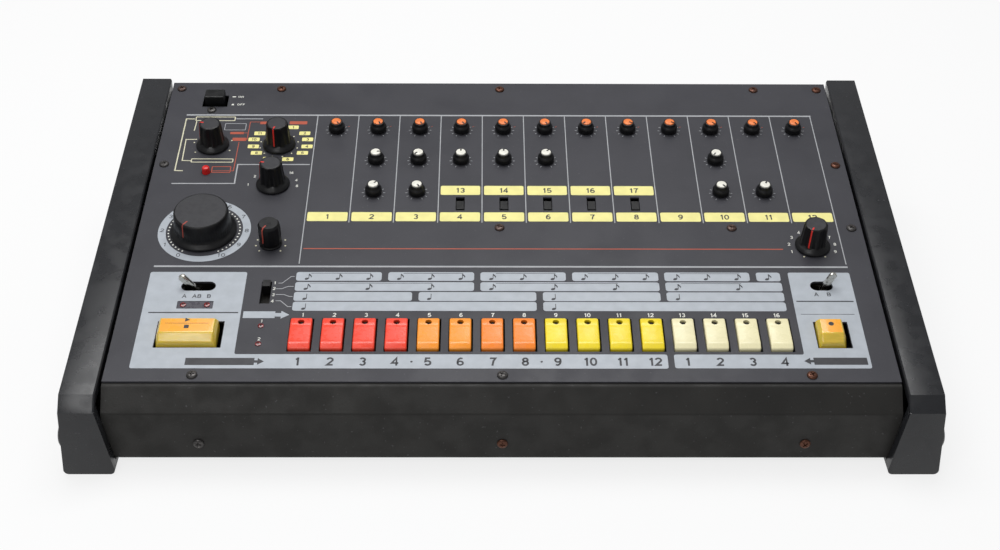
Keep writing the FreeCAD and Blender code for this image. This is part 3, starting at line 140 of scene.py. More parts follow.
def length(name, description, value):
    """A length that the sidebar shows, kept in mm."""
    return bpy.props.FloatProperty(name=name, description=description, default=value, min=0.001, soft_max=500)


class CaseSettings(bpy.types.PropertyGroup):
    panel: colour("Panel enamel", "Charcoal enamel of the top panel", "#3d3d42")
    tray: colour("Tray enamel", "Brownish black enamel of the tray and its front", "#282725")
    cheek: colour("Cheek plastic", "Moulded plastic of the end cheeks", "#1f2023")
    chip: colour("Worn edge", "Colour of dust and of worn specks", "#77757a")
    grain: length("Cheek grain (mm)", "Spacing of the cheeks' moulded grain", 1.1)


class PrintSettings(bpy.types.PropertyGroup):
    silver: colour("Silver ink", "Ink of the plates and score bars", "#adb3ba")
    line: colour("Line ink", "Ink of the long lines", "#a6a8ab")
    white: colour("White ink", "Ink of the small numbers", "#e4e4dc")
    cream: colour("Cream ink", "Ink of the brackets and dots", "#d5d1b6")
    label: colour("Label ink", "Ink of the voice labels", "#efe796")
    orange: colour("Orange ink", "Ink of the orange lines", "#b0523c")
    dark: colour("Dark ink", "Ink of marks on a light ground", "#36363a")
    film: length("Ink film (mm)", "Height of the ink above the panel", 0.07)
    weight: length("Line width (mm)", "Width of the thin lines", 0.62)


class KnobSettings(bpy.types.PropertyGroup):
    body: colour("Knob plastic", "Black moulded plastic of every knob", "#0d0d0f")
    level_cap: colour("Level cap", "Cap of the level knobs", "#f5823a")
    tone_cap: colour("Tone cap", "Cap of the tone and decay knobs", "#e9e7dc")
    pointer: colour("Pointer ink", "Line filled in on the selector knobs", "#dc3129")
    worn_pointer: colour("Worn pointer ink", "Dulled line of the two tempo knobs", "#a9473a")
    # The knob top's colour is lighter than the body's: a painted sheen that stands for the overhead light
    # reflected in the same black plastic.
    top: colour("Knob top", "Top face of the large knobs, matt from fingers", "#333336")
    flutes: bpy.props.IntProperty(name="Flutes", description="Flutes round a large knob", default=9, min=3)
    flute_depth: length("Flute depth (mm)", "Depth of the flutes of a large knob", 0.6)


class KeySettings(bpy.types.PropertyGroup):
    red: colour("Red keys", "Steps 1 to 4", "#f4472f")
    light_orange: colour("Light orange keys", "Steps 5 and 6", "#fb9a2c")
    orange: colour("Orange keys", "Steps 7 and 8", "#fb8a2c")
    yellow: colour("Yellow keys", "Steps 9 to 12", "#f4da26")
    cream: colour("Cream keys", "Steps 13 to 16", "#efe7bb")
    amber: colour("Amber keys", "Clear amber plastic of the two wide keys", "#e2bf45")
    amber_top: colour("Amber key top", "Orange plate under the clear top of the wide keys", "#ffae38")
    edge: length("Edge radius (mm)", "Rounding of a key's top edges", 0.9)


class HardwareSettings(bpy.types.PropertyGroup):
    head: length("Screw head radius (mm)", "Radius of a panel screw's head", 3.2)
    bolt: length("Bolt head radius (mm)", "Radius of a cheek bolt's head", 7.6)
    steel: colour("Oxidised steel", "Blackened steel of the screws", "#4a4847")
    rust: colour("Rust", "Rust that has come through on some screws", "#5a3524")
    chrome: colour("Chrome", "Plated toggle levers and socket nuts", "#dcdad2")
    lamp: colour("Lamp lens", "Red lens of an unlit lamp", "#8c1a1c")
    seed: bpy.props.IntProperty(
        name="Turn seed", description="Seed for how far each screw is turned", default=7
    )


class StageSettings(bpy.types.PropertyGroup):
    floor: colour("Floor", "Pale floor and backdrop", "#ffffff")
    lens: bpy.props.FloatProperty(name="Lens", description="Camera lens in mm", default=56.87, min=10)
    place: bpy.props.FloatVectorProperty(
        name="Camera place", description="Where the camera stands", subtype="XYZ", unit="LENGTH",
        default=(-0.0105, -0.84855, 0.6155),
    )
    aim: bpy.props.FloatVectorProperty(
        name="Camera aim", description="Pitch, roll and yaw of the camera", subtype="EULER", unit="ROTATION",
        default=tuple(math.radians(a) for a in (-34.345, -0.462, -0.68)),
    )
    overhead: bpy.props.FloatProperty(name="Overhead lamp", description="Power in watts", default=16.5, min=0)
    fill: bpy.props.FloatProperty(name="Front lamp", description="Power in watts", default=6, min=0)


SETTINGS = {
    "case": CaseSettings,
    "print": PrintSettings,
    "knob": KnobSettings,
    "key": KeySettings,
    "hardware": HardwareSettings,
    "stage": StageSettings,
}


def settings(group):
    """One group of the sidebar's values."""
    return getattr(bpy.context.scene, "drum_machine_" + group)


# Finishes


def add(tree, kind, settings=None, inputs=None):
    """Adds one node: its settings are set, and its inputs linked or given a value."""
    node = tree.nodes.new(kind)
    for name, value in (settings or {}).items():
        setattr(node, name, value)
    for name, value in (inputs or {}).items():
        if isinstance(value, bpy.types.NodeSocket):
            tree.links.new(value, node.inputs[name])
        else:
            node.inputs[name].default_value = value
    return node


def patches(tree, size, low, high, span=(0.42, 0.6), detail=3.0, stretch=(1, 1, 1)):
    """Soft patches about size mm across, as a factor from low to high."""
    where = add(tree, "ShaderNodeTexCoord").outputs["Object"]
    scaled = add(tree, "ShaderNodeMapping", {}, {"Vector": where, "Scale": stretch}).outputs[0]
    grid = {"Vector": scaled, "Scale": 1 / (size * MM), "Detail": detail}
    noise = add(tree, "ShaderNodeTexNoise", {}, grid)
    spread = {"Value": noise.outputs["Fac"], "From Min": span[0], "From Max": span[1]}
    spread.update({"To Min": low, "To Max": high})
    return add(tree, "ShaderNodeMapRange", {}, spread).outputs[0]


def start(name, roughness, metallic=0.0, **sockets):
    """A new material with its shader: the constants go on the shader's own sockets."""
    material = bpy.data.materials.new(name)
    material.use_nodes = True
    shader = material.node_tree.nodes["Principled BSDF"]
    shader.inputs["Roughness"].default_value = roughness
    shader.inputs["Metallic"].default_value = metallic
    for word, value in sockets.items():
        shader.inputs[word.replace("_", " ")].default_value = value
    return material, material.node_tree, shader


def shade(tree, shader, base, other, share):
    """Mixes a second colour into the first by a factor."""
    mix = add(tree, "ShaderNodeMix", {"data_type": "RGBA"}, {0: share, 6: base, 7: other})
    tree.links.new(mix.outputs[2], shader.inputs["Base Color"])
    return mix.outputs[2]


def worn(tree, shader, base, dark, size, specks):
    """A base colour with patches of its darker share, and pale specks of dust and wear over both."""
    mixed = shade(tree, shader, base, darker(base, dark), patches(tree, size, 0, 1, (0.35, 0.7)))
    shade(tree, shader, mixed, settings("case").chip, specks)


def darker(base, share):
    """The same colour at a share of its strength."""
    return tuple(c * share for c in base[:3]) + (1.0,)


def roughen(tree, shader, size, low, high):
    """Roughness that differs from patch to patch, as handling leaves it."""
    tree.links.new(patches(tree, size, low, high), shader.inputs["Roughness"])


def grain(tree, shader, size, depth, detail=4.0):
    """A fine relief about size mm across and depth mm high."""
    height = patches(tree, size, 0.0, 1.0, (0.3, 0.7), detail)
    bump = add(tree, "ShaderNodeBump", {}, {"Height": height, "Strength": 1.0, "Distance": depth * MM})
    tree.links.new(bump.outputs[0], shader.inputs["Normal"])


def panel_enamel():
    """Baked enamel on sheet steel: an even satin charcoal, with faint handling marks and specks of dust."""
    own = settings("case")
    material, tree, shader = start("panel_enamel", 0.42, Specular_IOR_Level=0.24)
    worn(tree, shader, own.panel, 0.86, 38, patches(tree, 1.3, 0, 0.2, (0.73, 0.78), 1.0))
    roughen(tree, shader, 22, 0.36, 0.5)
    grain(tree, shader, 1.5, 0.012)
    return material


def tray_enamel():
    """Textured enamel on the folded tray: brownish black, duller and rougher than the panel's."""
    own = settings("case")
    material, tree, shader = start("tray_enamel", 0.5, Specular_IOR_Level=0.25)
    worn(tree, shader, own.tray, 0.7, 30, patches(tree, 1.7, 0, 0.18, (0.73, 0.78), 1.0))
    roughen(tree, shader, 15, 0.45, 0.6)
    grain(tree, shader, 1.3, 0.03)
    return material


def cheek_plastic():
    """Moulded ABS with a spark-eroded grain: blue-black satin, with pale scuffs on its handled faces."""
    own = settings("case")
    material, tree, shader = start("cheek_plastic", 0.32, Specular_IOR_Level=0.45)
    worn(tree, shader, own.cheek, 0.78, 26, patches(tree, 2.0, 0, 0.3, (0.71, 0.77), 2.0))
    roughen(tree, shader, 12, 0.26, 0.38)
    # The real grain is about 0.3 mm: drawn coarser, so that it shows.
    grain(tree, shader, own.grain, 0.01, 6.0)
    return material


def ink(name, base, roughness=0.45):
    """Silk-screened ink: an even matt film, a little thin in places."""
    material, tree, shader = start(name, roughness, Specular_IOR_Level=0.35)
    shade(tree, shader, base, darker(base, 0.88), patches(tree, 7, 0, 1, (0.3, 0.75), 5.0))
    roughen(tree, shader, 5, roughness - 0.08, roughness + 0.08)
    return material


def moulded(name, base, roughness, size=9.0, depth=0.004, tone=0.85, **sockets):
    """Injection moulded ABS: an even colour with faint flow and handling marks and a very low relief."""
    material, tree, shader = start(name, roughness, **sockets)
    shade(tree, shader, base, darker(base, tone), patches(tree, size, 0, 1, (0.35, 0.7)))
    roughen(tree, shader, size / 2, roughness - 0.07, roughness + 0.07)
    grain(tree, shader, 0.9, depth)
    return material


def oxidised_steel():
    """Blackened screw steel: dull grey-brown metal, and rust where the blacking has gone."""
    own = settings("hardware")
    material, tree, shader = start("oxidised_steel", 0.42, 0.75)
    shade(tree, shader, own.steel, own.rust, patches(tree, 70, 0, 0.85, (0.47, 0.53), 1.0))
    roughen(tree, shader, 1.5, 0.28, 0.62)
    grain(tree, shader, 0.8, 0.02)
    return material


def plated(name, base, roughness):
    """Nickel and chrome plate: bright metal, dulled in patches by fingers."""
    material, tree, shader = start(name, roughness, 1.0)
    shade(tree, shader, base, darker(base, 0.8), patches(tree, 3, 0, 1, (0.3, 0.8)))
    roughen(tree, shader, 2.5, roughness - 0.06, roughness + 0.12)
    return material


def amber_acrylic():
    """Clear amber acrylic: light runs inside it, so its sides glow, and fine streaks lie along it."""
    own = settings("key")
    material, tree, shader = start(
        "amber_acrylic", 0.16, Subsurface_Weight=0.35, Subsurface_Radius=(0.004, 0.0022, 0.0006),
        Subsurface_Scale=1.0, Coat_Weight=0.4,
    )
    streak = patches(tree, 1.1, 0, 0.4, (0.4, 0.66), 2.0, (0.12, 1, 1))
    shade(tree, shader, own.amber, darker(own.amber, 0.7), streak)
    roughen(tree, shader, 3, 0.1, 0.24)
    return material


def lamp_plastic():
    """Tinted epoxy of an unlit lamp: dark red and glossy."""
    own = settings("hardware")
    material, tree, shader = start("lamp_epoxy", 0.12, Coat_Weight=0.5, Transmission_Weight=0.15)
    shade(tree, shader, own.lamp, darker(own.lamp, 0.35), patches(tree, 1.2, 0, 1, (0.4, 0.6)))
    return material


def make_finishes():
    """Every finish of the object, by name."""
    inks, knobs, keys = settings("print"), settings("knob"), settings("key")
    hardware = settings("hardware")
    made = {
        "panel": panel_enamel(),
        "tray": tray_enamel(),
        "cheek": cheek_plastic(),
        "silver": ink("silver_ink", inks.silver, 0.36),
        "line": ink("line_ink", inks.line),
        "cream": ink("cream_ink", inks.cream),
        "label": ink("label_ink", inks.label),
        "orange": ink("orange_ink", inks.orange),
        "white": ink("white_ink", inks.white),
        "dark": ink("dark_ink", inks.dark),
        "knob": moulded("knob_plastic", knobs.body, 0.38, Specular_IOR_Level=0.32),
        "cap_orange": moulded("level_cap_plastic", knobs.level_cap, 0.4, 2.5, tone=0.7),
        "cap_white": moulded("tone_cap_plastic", knobs.tone_cap, 0.36, 3),
        "pointer": ink("pointer_paint", knobs.pointer, 0.4),
        "worn_pointer": ink("worn_pointer_paint", knobs.worn_pointer, 0.5),
        # The large knobs' top faces: their lighter colour is a painted sheen of the overhead light, and their
        # higher roughness is real.
        "knob_top": moulded("knob_face_painted_sheen_plastic", knobs.top, 0.5, 6, Specular_IOR_Level=0.3),
        "bolt": moulded("painted_bolt_head", linear("#1b1b1d"), 0.34, 3, 0.006, Specular_IOR_Level=0.5),
        "amber": amber_acrylic(),
        "amber_top": moulded("amber_key_plate", keys.amber_top, 0.3, 12, tone=0.9, Coat_Weight=0.3),
        "black": moulded("button_plastic", linear("#111112"), 0.36, Specular_IOR_Level=0.3),
        "red_button": moulded("clear_button_plastic", linear("#d4201c"), 0.2, Coat_Weight=0.3),
        "steel": oxidised_steel(),
        "chrome": plated("chrome_plate", hardware.chrome, 0.17),
        "nickel": plated("nickel_plate", linear("#b9b5aa"), 0.28),
        "lamp": lamp_plastic(),
        "smoke": moulded("smoke_filter", linear("#413e48"), 0.3, 6),
        "phenolic": moulded("board_phenolic", linear("#14120e"), 0.5, 14, 0.01, 0.6, Specular_IOR_Level=0.2),
        "laminate": moulded("board_laminate", linear("#5a6b3c"), 0.5, 14, 0.01, 0.6),
        "socket": moulded("socket_plastic", linear("#1a1a1b"), 0.44, 6),
    }
    for word in ("red", "light_orange", "orange", "yellow", "cream"):
        made["key_" + word] = moulded(
            f"{word}_key_plastic", getattr(keys, word), 0.3, 7, 0.004, 0.92, Coat_Weight=0.12
        )
    return made


FINISH = {}

# Mesh work


def new_object(name, data):
    """A scene object that holds the data."""
    item = bpy.data.objects.new(name, data)
    bpy.context.scene.collection.objects.link(item)
    return item


def piece(name, mesh, body, slot, *finishes, replaces=()):
    """A finished piece: its mesh is already in place, and it rides on its CAD body."""
    for finish in finishes:
        mesh.materials.append(FINISH[finish])
    item = new_object(name, mesh)
    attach(item, body)
    if replaces:
        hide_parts(*replaces)
    return item


def to_mesh(build, name, place=DECK, angle=38, outward=True):
    """The worked mesh, put in place, with its faces outward and its soft edges smooth."""
    if outward:
        bmesh.ops.recalc_face_normals(build, faces=build.faces[:])
    build.transform(place)
    mesh = bpy.data.meshes.new(name)
    build.to_mesh(mesh)
    build.free()
    mesh.shade_smooth()
    mesh.set_sharp_from_angle(angle=math.radians(angle))
    return mesh


def evaluated_mesh(item):
    """What the object looks like after its modifiers or its curve, as a plain mesh."""
    bpy.context.view_layer.update()
    graph = bpy.context.evaluated_depsgraph_get()
    return bpy.data.meshes.new_from_object(item.evaluated_get(graph))


def discard(*items):
    """Removes working objects and their data."""
    for item in items:
        data = item.data
        bpy.data.objects.remove(item)
        if data.users == 0:
            (bpy.data.meshes if isinstance(data, bpy.types.Mesh) else bpy.data.curves).remove(data)


def turned(build, centre, profile, sides=40, aim=0.0, flutes=0, depth=0.0, finish=0):
    """A closed turned form from (radius, height[, flute share]) points; a flute's crest lies at aim."""
    rings = []
    for radius, height, *shares in profile:
        share = sum(shares)
        ring = []
        if radius == 0:
            ring = [build.verts.new((centre[0], centre[1], height))]
        else:
            for k in range(sides):
                a = 2 * math.pi * k / sides
                cut = depth * share * (0.5 - 0.5 * math.cos(flutes * a)) if flutes else 0
                spot = (radius - cut) * math.cos(a + aim), (radius - cut) * math.sin(a + aim)
                ring.append(build.verts.new((centre[0] + spot[0], centre[1] + spot[1], height)))
        rings.append(ring)
    for low, high in zip(rings, rings[1:]):
        for k in range(sides):
            n = (k + 1) % sides
            corners = [low[k % len(low)], low[n % len(low)], high[n % len(high)], high[k % len(high)]]
            corners = [v for i, v in enumerate(corners) if v not in corners[:i]]
            if len(corners) > 2:
                build.faces.new(corners).material_index = finish


def ribbon(build, centre, path, aim, width, proud=0.08, sunk=0.4, finish=0):
    """A painted line over a knob: it follows (radius, height) points at one angle."""
    out = Vector((math.cos(aim), math.sin(aim), 0))
    side = Vector((-math.sin(aim), math.cos(aim), 0)) * width / 2
    middle = Vector((centre[0], centre[1], 0))
    loops = []
    for i, (radius, height) in enumerate(path):
        before, after = path[max(i - 1, 0)], path[min(i + 1, len(path) - 1)]
        run = Vector((after[0] - before[0], after[1] - before[1])).normalized()
        normal = Vector((run.y, -run.x))
        if normal.y < 0 or (abs(normal.y) < 1e-6 and normal.x < 0):
            normal = -normal
        spot = middle + out * radius + Vector((0, 0, height))
        lift = out * normal.x + Vector((0, 0, normal.y))
        high, low = spot + lift * proud, spot - lift * sunk
        loops.append([build.verts.new(p) for p in (high - side, high + side, low + side, low - side)])
    for a, b in zip(loops, loops[1:]):
        for k in range(4):
            build.faces.new((a[k], a[(k + 1) % 4], b[(k + 1) % 4], b[k])).material_index = finish
    build.faces.new(loops[0]).material_index = finish
    build.faces.new(loops[-1][::-1]).material_index = finish


def box(build, low, high, finish=0):
    """A plain closed block between two corners."""
    (x0, y0, z0), (x1, y1, z1) = low, high
    corners = [build.verts.new((x, y, z)) for z in (z0, z1) for y in (y0, y1) for x in (x0, x1)]
    for quad in ((0, 2, 3, 1), (4, 5, 7, 6), (0, 1, 5, 4), (2, 6, 7, 3), (0, 4, 6, 2), (1, 3, 7, 5)):
        build.faces.new([corners[k] for k in quad]).material_index = finish


# Outlines of the prints, in mm on the panel


def rounded(u0, v0, u1, v1, radius=0.0, steps=5):
    """A rectangle with rounded corners."""
    if radius <= 0:
        return [(u0, v0), (u1, v0), (u1, v1), (u0, v1)]
    points = []
    for cu, cv, turn in (
        (u1 - radius, v0 + radius, -90), (u1 - radius, v1 - radius, 0),
        (u0 + radius, v1 - radius, 90), (u0 + radius, v0 + radius, 180),
    ):
        for k in range(steps + 1):
            a = math.radians(turn + 90 * k / steps)
            points.append((cu + radius * math.cos(a), cv + radius * math.sin(a)))
    return points


def softened_corners(points, radius, steps=5):
    """The same outline with each corner rounded."""
    made = []
    for k, point in enumerate(points):
        here = Vector(point)
        back = (Vector(points[k - 1]) - here).normalized() * radius
        ahead = (Vector(points[(k + 1) % len(points)]) - here).normalized() * radius
        for n in range(steps + 1):
            t = n / steps
            spot = here + back * (1 - t) ** 2 + ahead * t**2
            made.append((spot.x, spot.y))
    return made


def stroke(points, width):
    """The outline of a line drawn through points."""
    left, right = [], []
    for k, point in enumerate(points):
        here = Vector(point)
        into = (here - Vector(points[k - 1])).normalized() if k else None
        out = (Vector(points[k + 1]) - here).normalized() if k + 1 < len(points) else None
        run = ((into or out) + (out or into)).normalized()
        across = Vector((-run.y, run.x))
        reach = width / 2 / max(0.4, across.dot(Vector((-(out or into).y, (out or into).x))))
        left.append(tuple(here + across * reach))
        right.append(tuple(here - across * reach))
    return right + left[::-1]


def frame_loops(u0, v0, u1, v1, width, radius=0.8):
    """A hollow box as two outlines."""
    inner = rounded(u0 + width, v0 + width, u1 - width, v1 - width, radius / 2)
    return [rounded(u0, v0, u1, v1, radius), inner]


def arc(centre, radius, first, last, steps):
    """Points of an arc, in degrees from 3 o'clock."""
    angles = [math.radians(first + (last - first) * k / steps) for k in range(steps + 1)]
    return [(centre[0] + radius * math.cos(a), centre[1] + radius * math.sin(a)) for a in angles]


def circle(centre, radius, steps=24):
    """Points of a whole circle."""
    return arc(centre, radius, 0, 360 - 360 / steps, steps - 1)


def hoop(points, width):
    """The two outlines of a line drawn round a closed path."""
    outer, inner = [], []
    for k, point in enumerate(points):
        run = (Vector(points[(k + 1) % len(points)]) - Vector(points[k - 1])).normalized()
        across = Vector((run.y, -run.x)) * width / 2
        outer.append(tuple(Vector(point) + across))
        inner.append(tuple(Vector(point) - across))
    return [outer, inner]


def oval(centre, wide, high, steps=20):
    """Points of a whole oval."""
    u, v = centre
    return [(u + (x - u) * wide, v + (y - v) * high) for x, y in circle(centre, 1, steps)]


# Plain numbers and letters one unit high: how wide each is set, its open lines and its closed ones.
SIX = [(-0.235, -0.18), (-0.23, 0.04), (-0.17, 0.25), (-0.06, 0.38), (0.05, 0.425), (0.2, 0.37)]
GLYPHS = {
    "0": (0.74, [], [oval((0, 0), 0.245, 0.425)]),
    "1": (0.55, [[(0.06, -0.5), (0.06, 0.5)], [(-0.15, 0.27), (0, 0.31), (0.06, 0.46)]], []),
    "2": (0.74, [arc((0, 0.19), 0.24, 165, -20, 12) + [(-0.23, -0.42), (0.28, -0.42)]], []),
    "3": (0.74, [arc((0, 0.215), 0.21, 155, -90, 12), arc((0, -0.205), 0.225, 90, -155, 12)], []),
    "4": (0.74, [[(0.12, -0.5), (0.12, 0.44), (-0.28, -0.19), (0.3, -0.19)]], []),
    "5": (0.74, [[(0.22, 0.425), (-0.16, 0.425), (-0.21, 0.0)] + arc((0, -0.17), 0.25, 135, -150, 12)], []),
    "6": (0.74, [SIX], [oval((0, -0.19), 0.235, 0.235)]),
    "7": (0.7, [[(-0.26, 0.425), (0.24, 0.425), (0.06, 0.08), (-0.04, -0.5)]], []),
    "8": (0.74, [], [oval((0, 0.225), 0.2, 0.2), oval((0, -0.2), 0.235, 0.225)]),
    "9": (0.74, [[(-x, -y) for x, y in SIX]], [oval((0, 0.19), 0.235, 0.235)]),
    "A": (0.84, [[(-0.33, -0.5), (0, 0.45), (0.33, -0.5)], [(-0.2, -0.16), (0.2, -0.16)]], []),
    "B": (0.8, [
        [(0.02, 0.425), (-0.25, 0.425), (-0.25, -0.425), (0.04, -0.425)]
        + arc((0.04, -0.2), 0.225, -70, 90, 8),
        [(-0.25, 0.025), (0.02, 0.025)] + arc((0.02, 0.225), 0.2, -70, 90, 8),
    ], []),
    "F": (0.7, [[(-0.2, -0.5), (-0.2, 0.425), (0.27, 0.425)], [(-0.2, 0.02), (0.2, 0.02)]], []),
    "N": (0.86, [[(-0.27, -0.5), (-0.27, 0.46), (0.27, -0.46), (0.27, 0.5)]], []),
    "O": (0.94, [], [oval((0, 0), 0.33, 0.425)]),
}


def figure(text, u, v, height, squeeze=1.0, weight=0.16):
    """Plain numbers or letters in one even line, as shapes to print."""
    shapes = []
    start = -sum(GLYPHS[sign][0] for sign in text) / 2
    for sign in text:
        width, lines, loops = GLYPHS[sign]
        middle = start + width / 2
        start += width
        for points in lines + loops:
            placed = [(u + (middle + x) * height * squeeze, v + y * height) for x, y in points]
            closed = points in loops
            shapes.append(hoop(placed, weight * height) if closed else [stroke(placed, weight * height)])
    return shapes


def flats(shapes):
    """Each shape, a list of outlines, as a thin closed mesh."""
    items = []
    for shape in shapes:
        data = bpy.data.curves.new("outline", "CURVE")
        data.dimensions, data.fill_mode = "2D", "BOTH"
        data.extrude = settings("print").film / 2
        for loop in shape:
            spline = data.splines.new("POLY")
            spline.points.add(len(loop) - 1)
            for point, (u, v) in zip(spline.points, loop):
                point.co = (u, v, 0, 1)
            spline.use_cyclic_u = True
        items.append(new_object("flat", data))
    bpy.context.view_layer.update()
    graph = bpy.context.evaluated_depsgraph_get()
    meshes = [bpy.data.meshes.new_from_object(item.evaluated_get(graph)) for item in items]
    discard(*items)
    return meshes


def print_layer(name, finish, shapes, base=0.0, place=DECK, body=CASE, slot="panel_paint"):
    """One colour of the silk-screen print, as thin closed films on the surface."""
    film = settings("print").film
    build = bmesh.new()
    for mesh in flats(shapes):
        build.from_mesh(mesh)
        bpy.data.meshes.remove(mesh)
    bmesh.ops.remove_doubles(build, verts=build.verts[:], dist=0.0004)
    for vert in build.verts:
        vert.co.z += base + film / 2 - SINK
    return piece(name, to_mesh(build, name, place, 30), body, slot, finish)


# Geometry Nodes


def node_tree(name, inputs):
    """A geometry node tree with its named inputs, its group input and its group output."""
    tree = bpy.data.node_groups.new(name, "GeometryNodeTree")
    tree.interface.new_socket("Geometry", in_out="INPUT", socket_type="NodeSocketGeometry")
    for word, kind, value in inputs:
        socket = tree.interface.new_socket(word, in_out="INPUT", socket_type=kind)
        if value is not None:
            socket.default_value = value
    tree.interface.new_socket("Geometry", in_out="OUTPUT", socket_type="NodeSocketGeometry")
    return tree, add(tree, "NodeGroupInput"), add(tree, "NodeGroupOutput")


def set_part(tree, given, made, points, rotation):
    """Sets the tree's part on each point, makes the copies real and gives them their finish."""
    source = {"Object": given.outputs["Part"]}
    part = add(tree, "GeometryNodeObjectInfo", {"transform_space": "ORIGINAL"}, source)
    spread = {"Points": points, "Instance": part.outputs["Geometry"], "Rotation": rotation}
    placed = add(tree, "GeometryNodeInstanceOnPoints", {}, spread)
    real = add(tree, "GeometryNodeRealizeInstances", {}, {"Geometry": placed.outputs[0]})
    dressed = {"Geometry": real.outputs[0], "Material": given.outputs["Finish"]}
    painted = add(tree, "GeometryNodeSetMaterial", {}, dressed)
    tree.links.new(painted.outputs[0], made.inputs["Geometry"])


PART, PAINT = ("Part", "NodeSocketObject", None), ("Finish", "NodeSocketMaterial", None)


def hardware_tree():
    """Sets one part on each point, facing the way that the point faces and turned by chance."""
    chances = [("Turn", "NodeSocketFloat", 2 * math.pi), ("Seed", "NodeSocketInt", 1)]
    tree, given, made = node_tree("set_hardware", [PART] + chances + [PAINT])
    named = {"data_type": "FLOAT_VECTOR"}
    facing = add(tree, "GeometryNodeInputNamedAttribute", named, {"Name": "facing"}).outputs["Attribute"]
    align = add(tree, "FunctionNodeAlignRotationToVector", {"axis": "Z"}, {"Vector": facing})
    draw = {2: 0.0, 3: given.outputs["Turn"], "Seed": given.outputs["Seed"]}
    chance = add(tree, "FunctionNodeRandomValue", {"data_type": "FLOAT"}, draw)
    about = {"Axis": (0, 0, 1), "Angle": chance.outputs[1]}
    spin = add(tree, "FunctionNodeAxisAngleToRotation", {}, about)
    turns = {"Rotation": align.outputs[0], "Rotate By": spin.outputs[0]}
    turn = add(tree, "FunctionNodeRotateRotation", {"rotation_space": "LOCAL"}, turns)
    set_part(tree, given, made, given.outputs["Geometry"], turn.outputs[0])
    return tree


def dial_tree():
    """Repeats a mark round each dial's centre, from the first angle on, at one radius."""
    measures = [("Count", "NodeSocketInt", 11), ("Radius", "NodeSocketFloat", 8.0)]
    measures += [("First", "NodeSocketFloat", 0.0), ("Step", "NodeSocketFloat", 0.5)]
    tree, given, made = node_tree("dial_marks", [PART] + measures + [PAINT])
    every = {"Geometry": given.outputs["Geometry"], "Amount": given.outputs["Count"]}
    copies = add(tree, "GeometryNodeDuplicateElements", {"domain": "POINT"}, every)
    counted = {0: copies.outputs["Duplicate Index"], 1: given.outputs["Step"]}
    steps = add(tree, "ShaderNodeMath", {"operation": "MULTIPLY"}, counted).outputs[0]
    onward = {0: steps, 1: given.outputs["First"]}
    angle = add(tree, "ShaderNodeMath", {"operation": "ADD"}, onward).outputs[0]
    across = add(tree, "ShaderNodeMath", {"operation": "COSINE"}, {0: angle}).outputs[0]
    along = add(tree, "ShaderNodeMath", {"operation": "SINE"}, {0: angle}).outputs[0]
    offset = add(tree, "ShaderNodeCombineXYZ", {}, {"X": across, "Y": along})
    reach = {0: offset.outputs[0], "Scale": given.outputs["Radius"]}
    scaled = add(tree, "ShaderNodeVectorMath", {"operation": "SCALE"}, reach)
    move = {"Geometry": copies.outputs["Geometry"], "Offset": scaled.outputs[0]}
    moved = add(tree, "GeometryNodeSetPosition", {}, move)
    turn = add(tree, "ShaderNodeCombineXYZ", {}, {"Z": angle})
    set_part(tree, given, made, moved.outputs[0], turn.outputs[0])
    return tree


def grown(tree, name, points, values, facing=None):
    """Runs a node tree on points and gives back the plain mesh that it makes."""
    mesh = bpy.data.meshes.new(name + "_points")
    mesh.from_pydata(points, [], [])
    if facing:
        mesh.attributes.new("facing", "FLOAT_VECTOR", "POINT").data.foreach_set(
            "vector", [c for vector in facing for c in vector]
        )
    item = new_object(name + "_points", mesh)
    modifier = item.modifiers.new("nodes", "NODES")
    modifier.node_group = tree
    sockets = {s.name: s.identifier for s in tree.interface.items_tree if s.in_out == "INPUT"}
    for word, value in values.items():
        modifier[sockets[word]] = value
    made = evaluated_mesh(item)
    item.modifiers.remove(modifier)
    discard(item)
    return made


def cross_head(name, radius, height, shank, reach):
    """A domed screw or bolt with a cross recess, in metres, head upward from its seat."""
    build = bmesh.new()
    profile = [(0, -reach), (shank, -reach), (shank, 0), (radius * 0.97, 0), (radius, height * 0.12)]
    profile += [(radius, height * 0.3), (radius * 0.93, height * 0.58), (radius * 0.76, height * 0.84)]
    profile += [(radius * 0.5, height * 0.97), (0, height)]
    turned(build, (0, 0), profile, 28)
    bmesh.ops.recalc_face_normals(build, faces=build.faces[:])
    head = new_object(name, bpy.data.meshes.new(name))
    build.to_mesh(head.data)
    build.free()
    cutter = bmesh.new()
    arm, wide, deep = radius * 0.56, radius * 0.13, height * 0.62
    loop = [(arm, -wide), (arm, wide), (wide, wide), (wide, arm), (-wide, arm), (-wide, wide)]
    loop += [(-arm, wide), (-arm, -wide), (-wide, -wide), (-wide, -arm), (wide, -arm), (wide, -wide)]
    low = [cutter.verts.new((x * 0.5, y * 0.5, height - deep)) for x, y in loop]
    high = [cutter.verts.new((x * 1.25, y * 1.25, height + deep * 0.4)) for x, y in loop]
    cutter.faces.new(low[::-1])
    cutter.faces.new(high)
    for k in range(12):
        cutter.faces.new((low[k], low[(k + 1) % 12], high[(k + 1) % 12], high[k]))
    bmesh.ops.recalc_face_normals(cutter, faces=cutter.faces[:])
    tool = new_object(name + "_recess", bpy.data.meshes.new(name + "_recess"))
    cutter.to_mesh(tool.data)
    cutter.free()
    cut = head.modifiers.new("recess", "BOOLEAN")
    cut.object, cut.operation, cut.solver = tool, "DIFFERENCE", "EXACT"
    mesh = evaluated_mesh(head)
    discard(head, tool)
    mesh.transform(Matrix.Scale(MM, 4))
    mesh.shade_smooth()
    mesh.set_sharp_from_angle(angle=math.radians(35))
    return new_object(name, mesh)


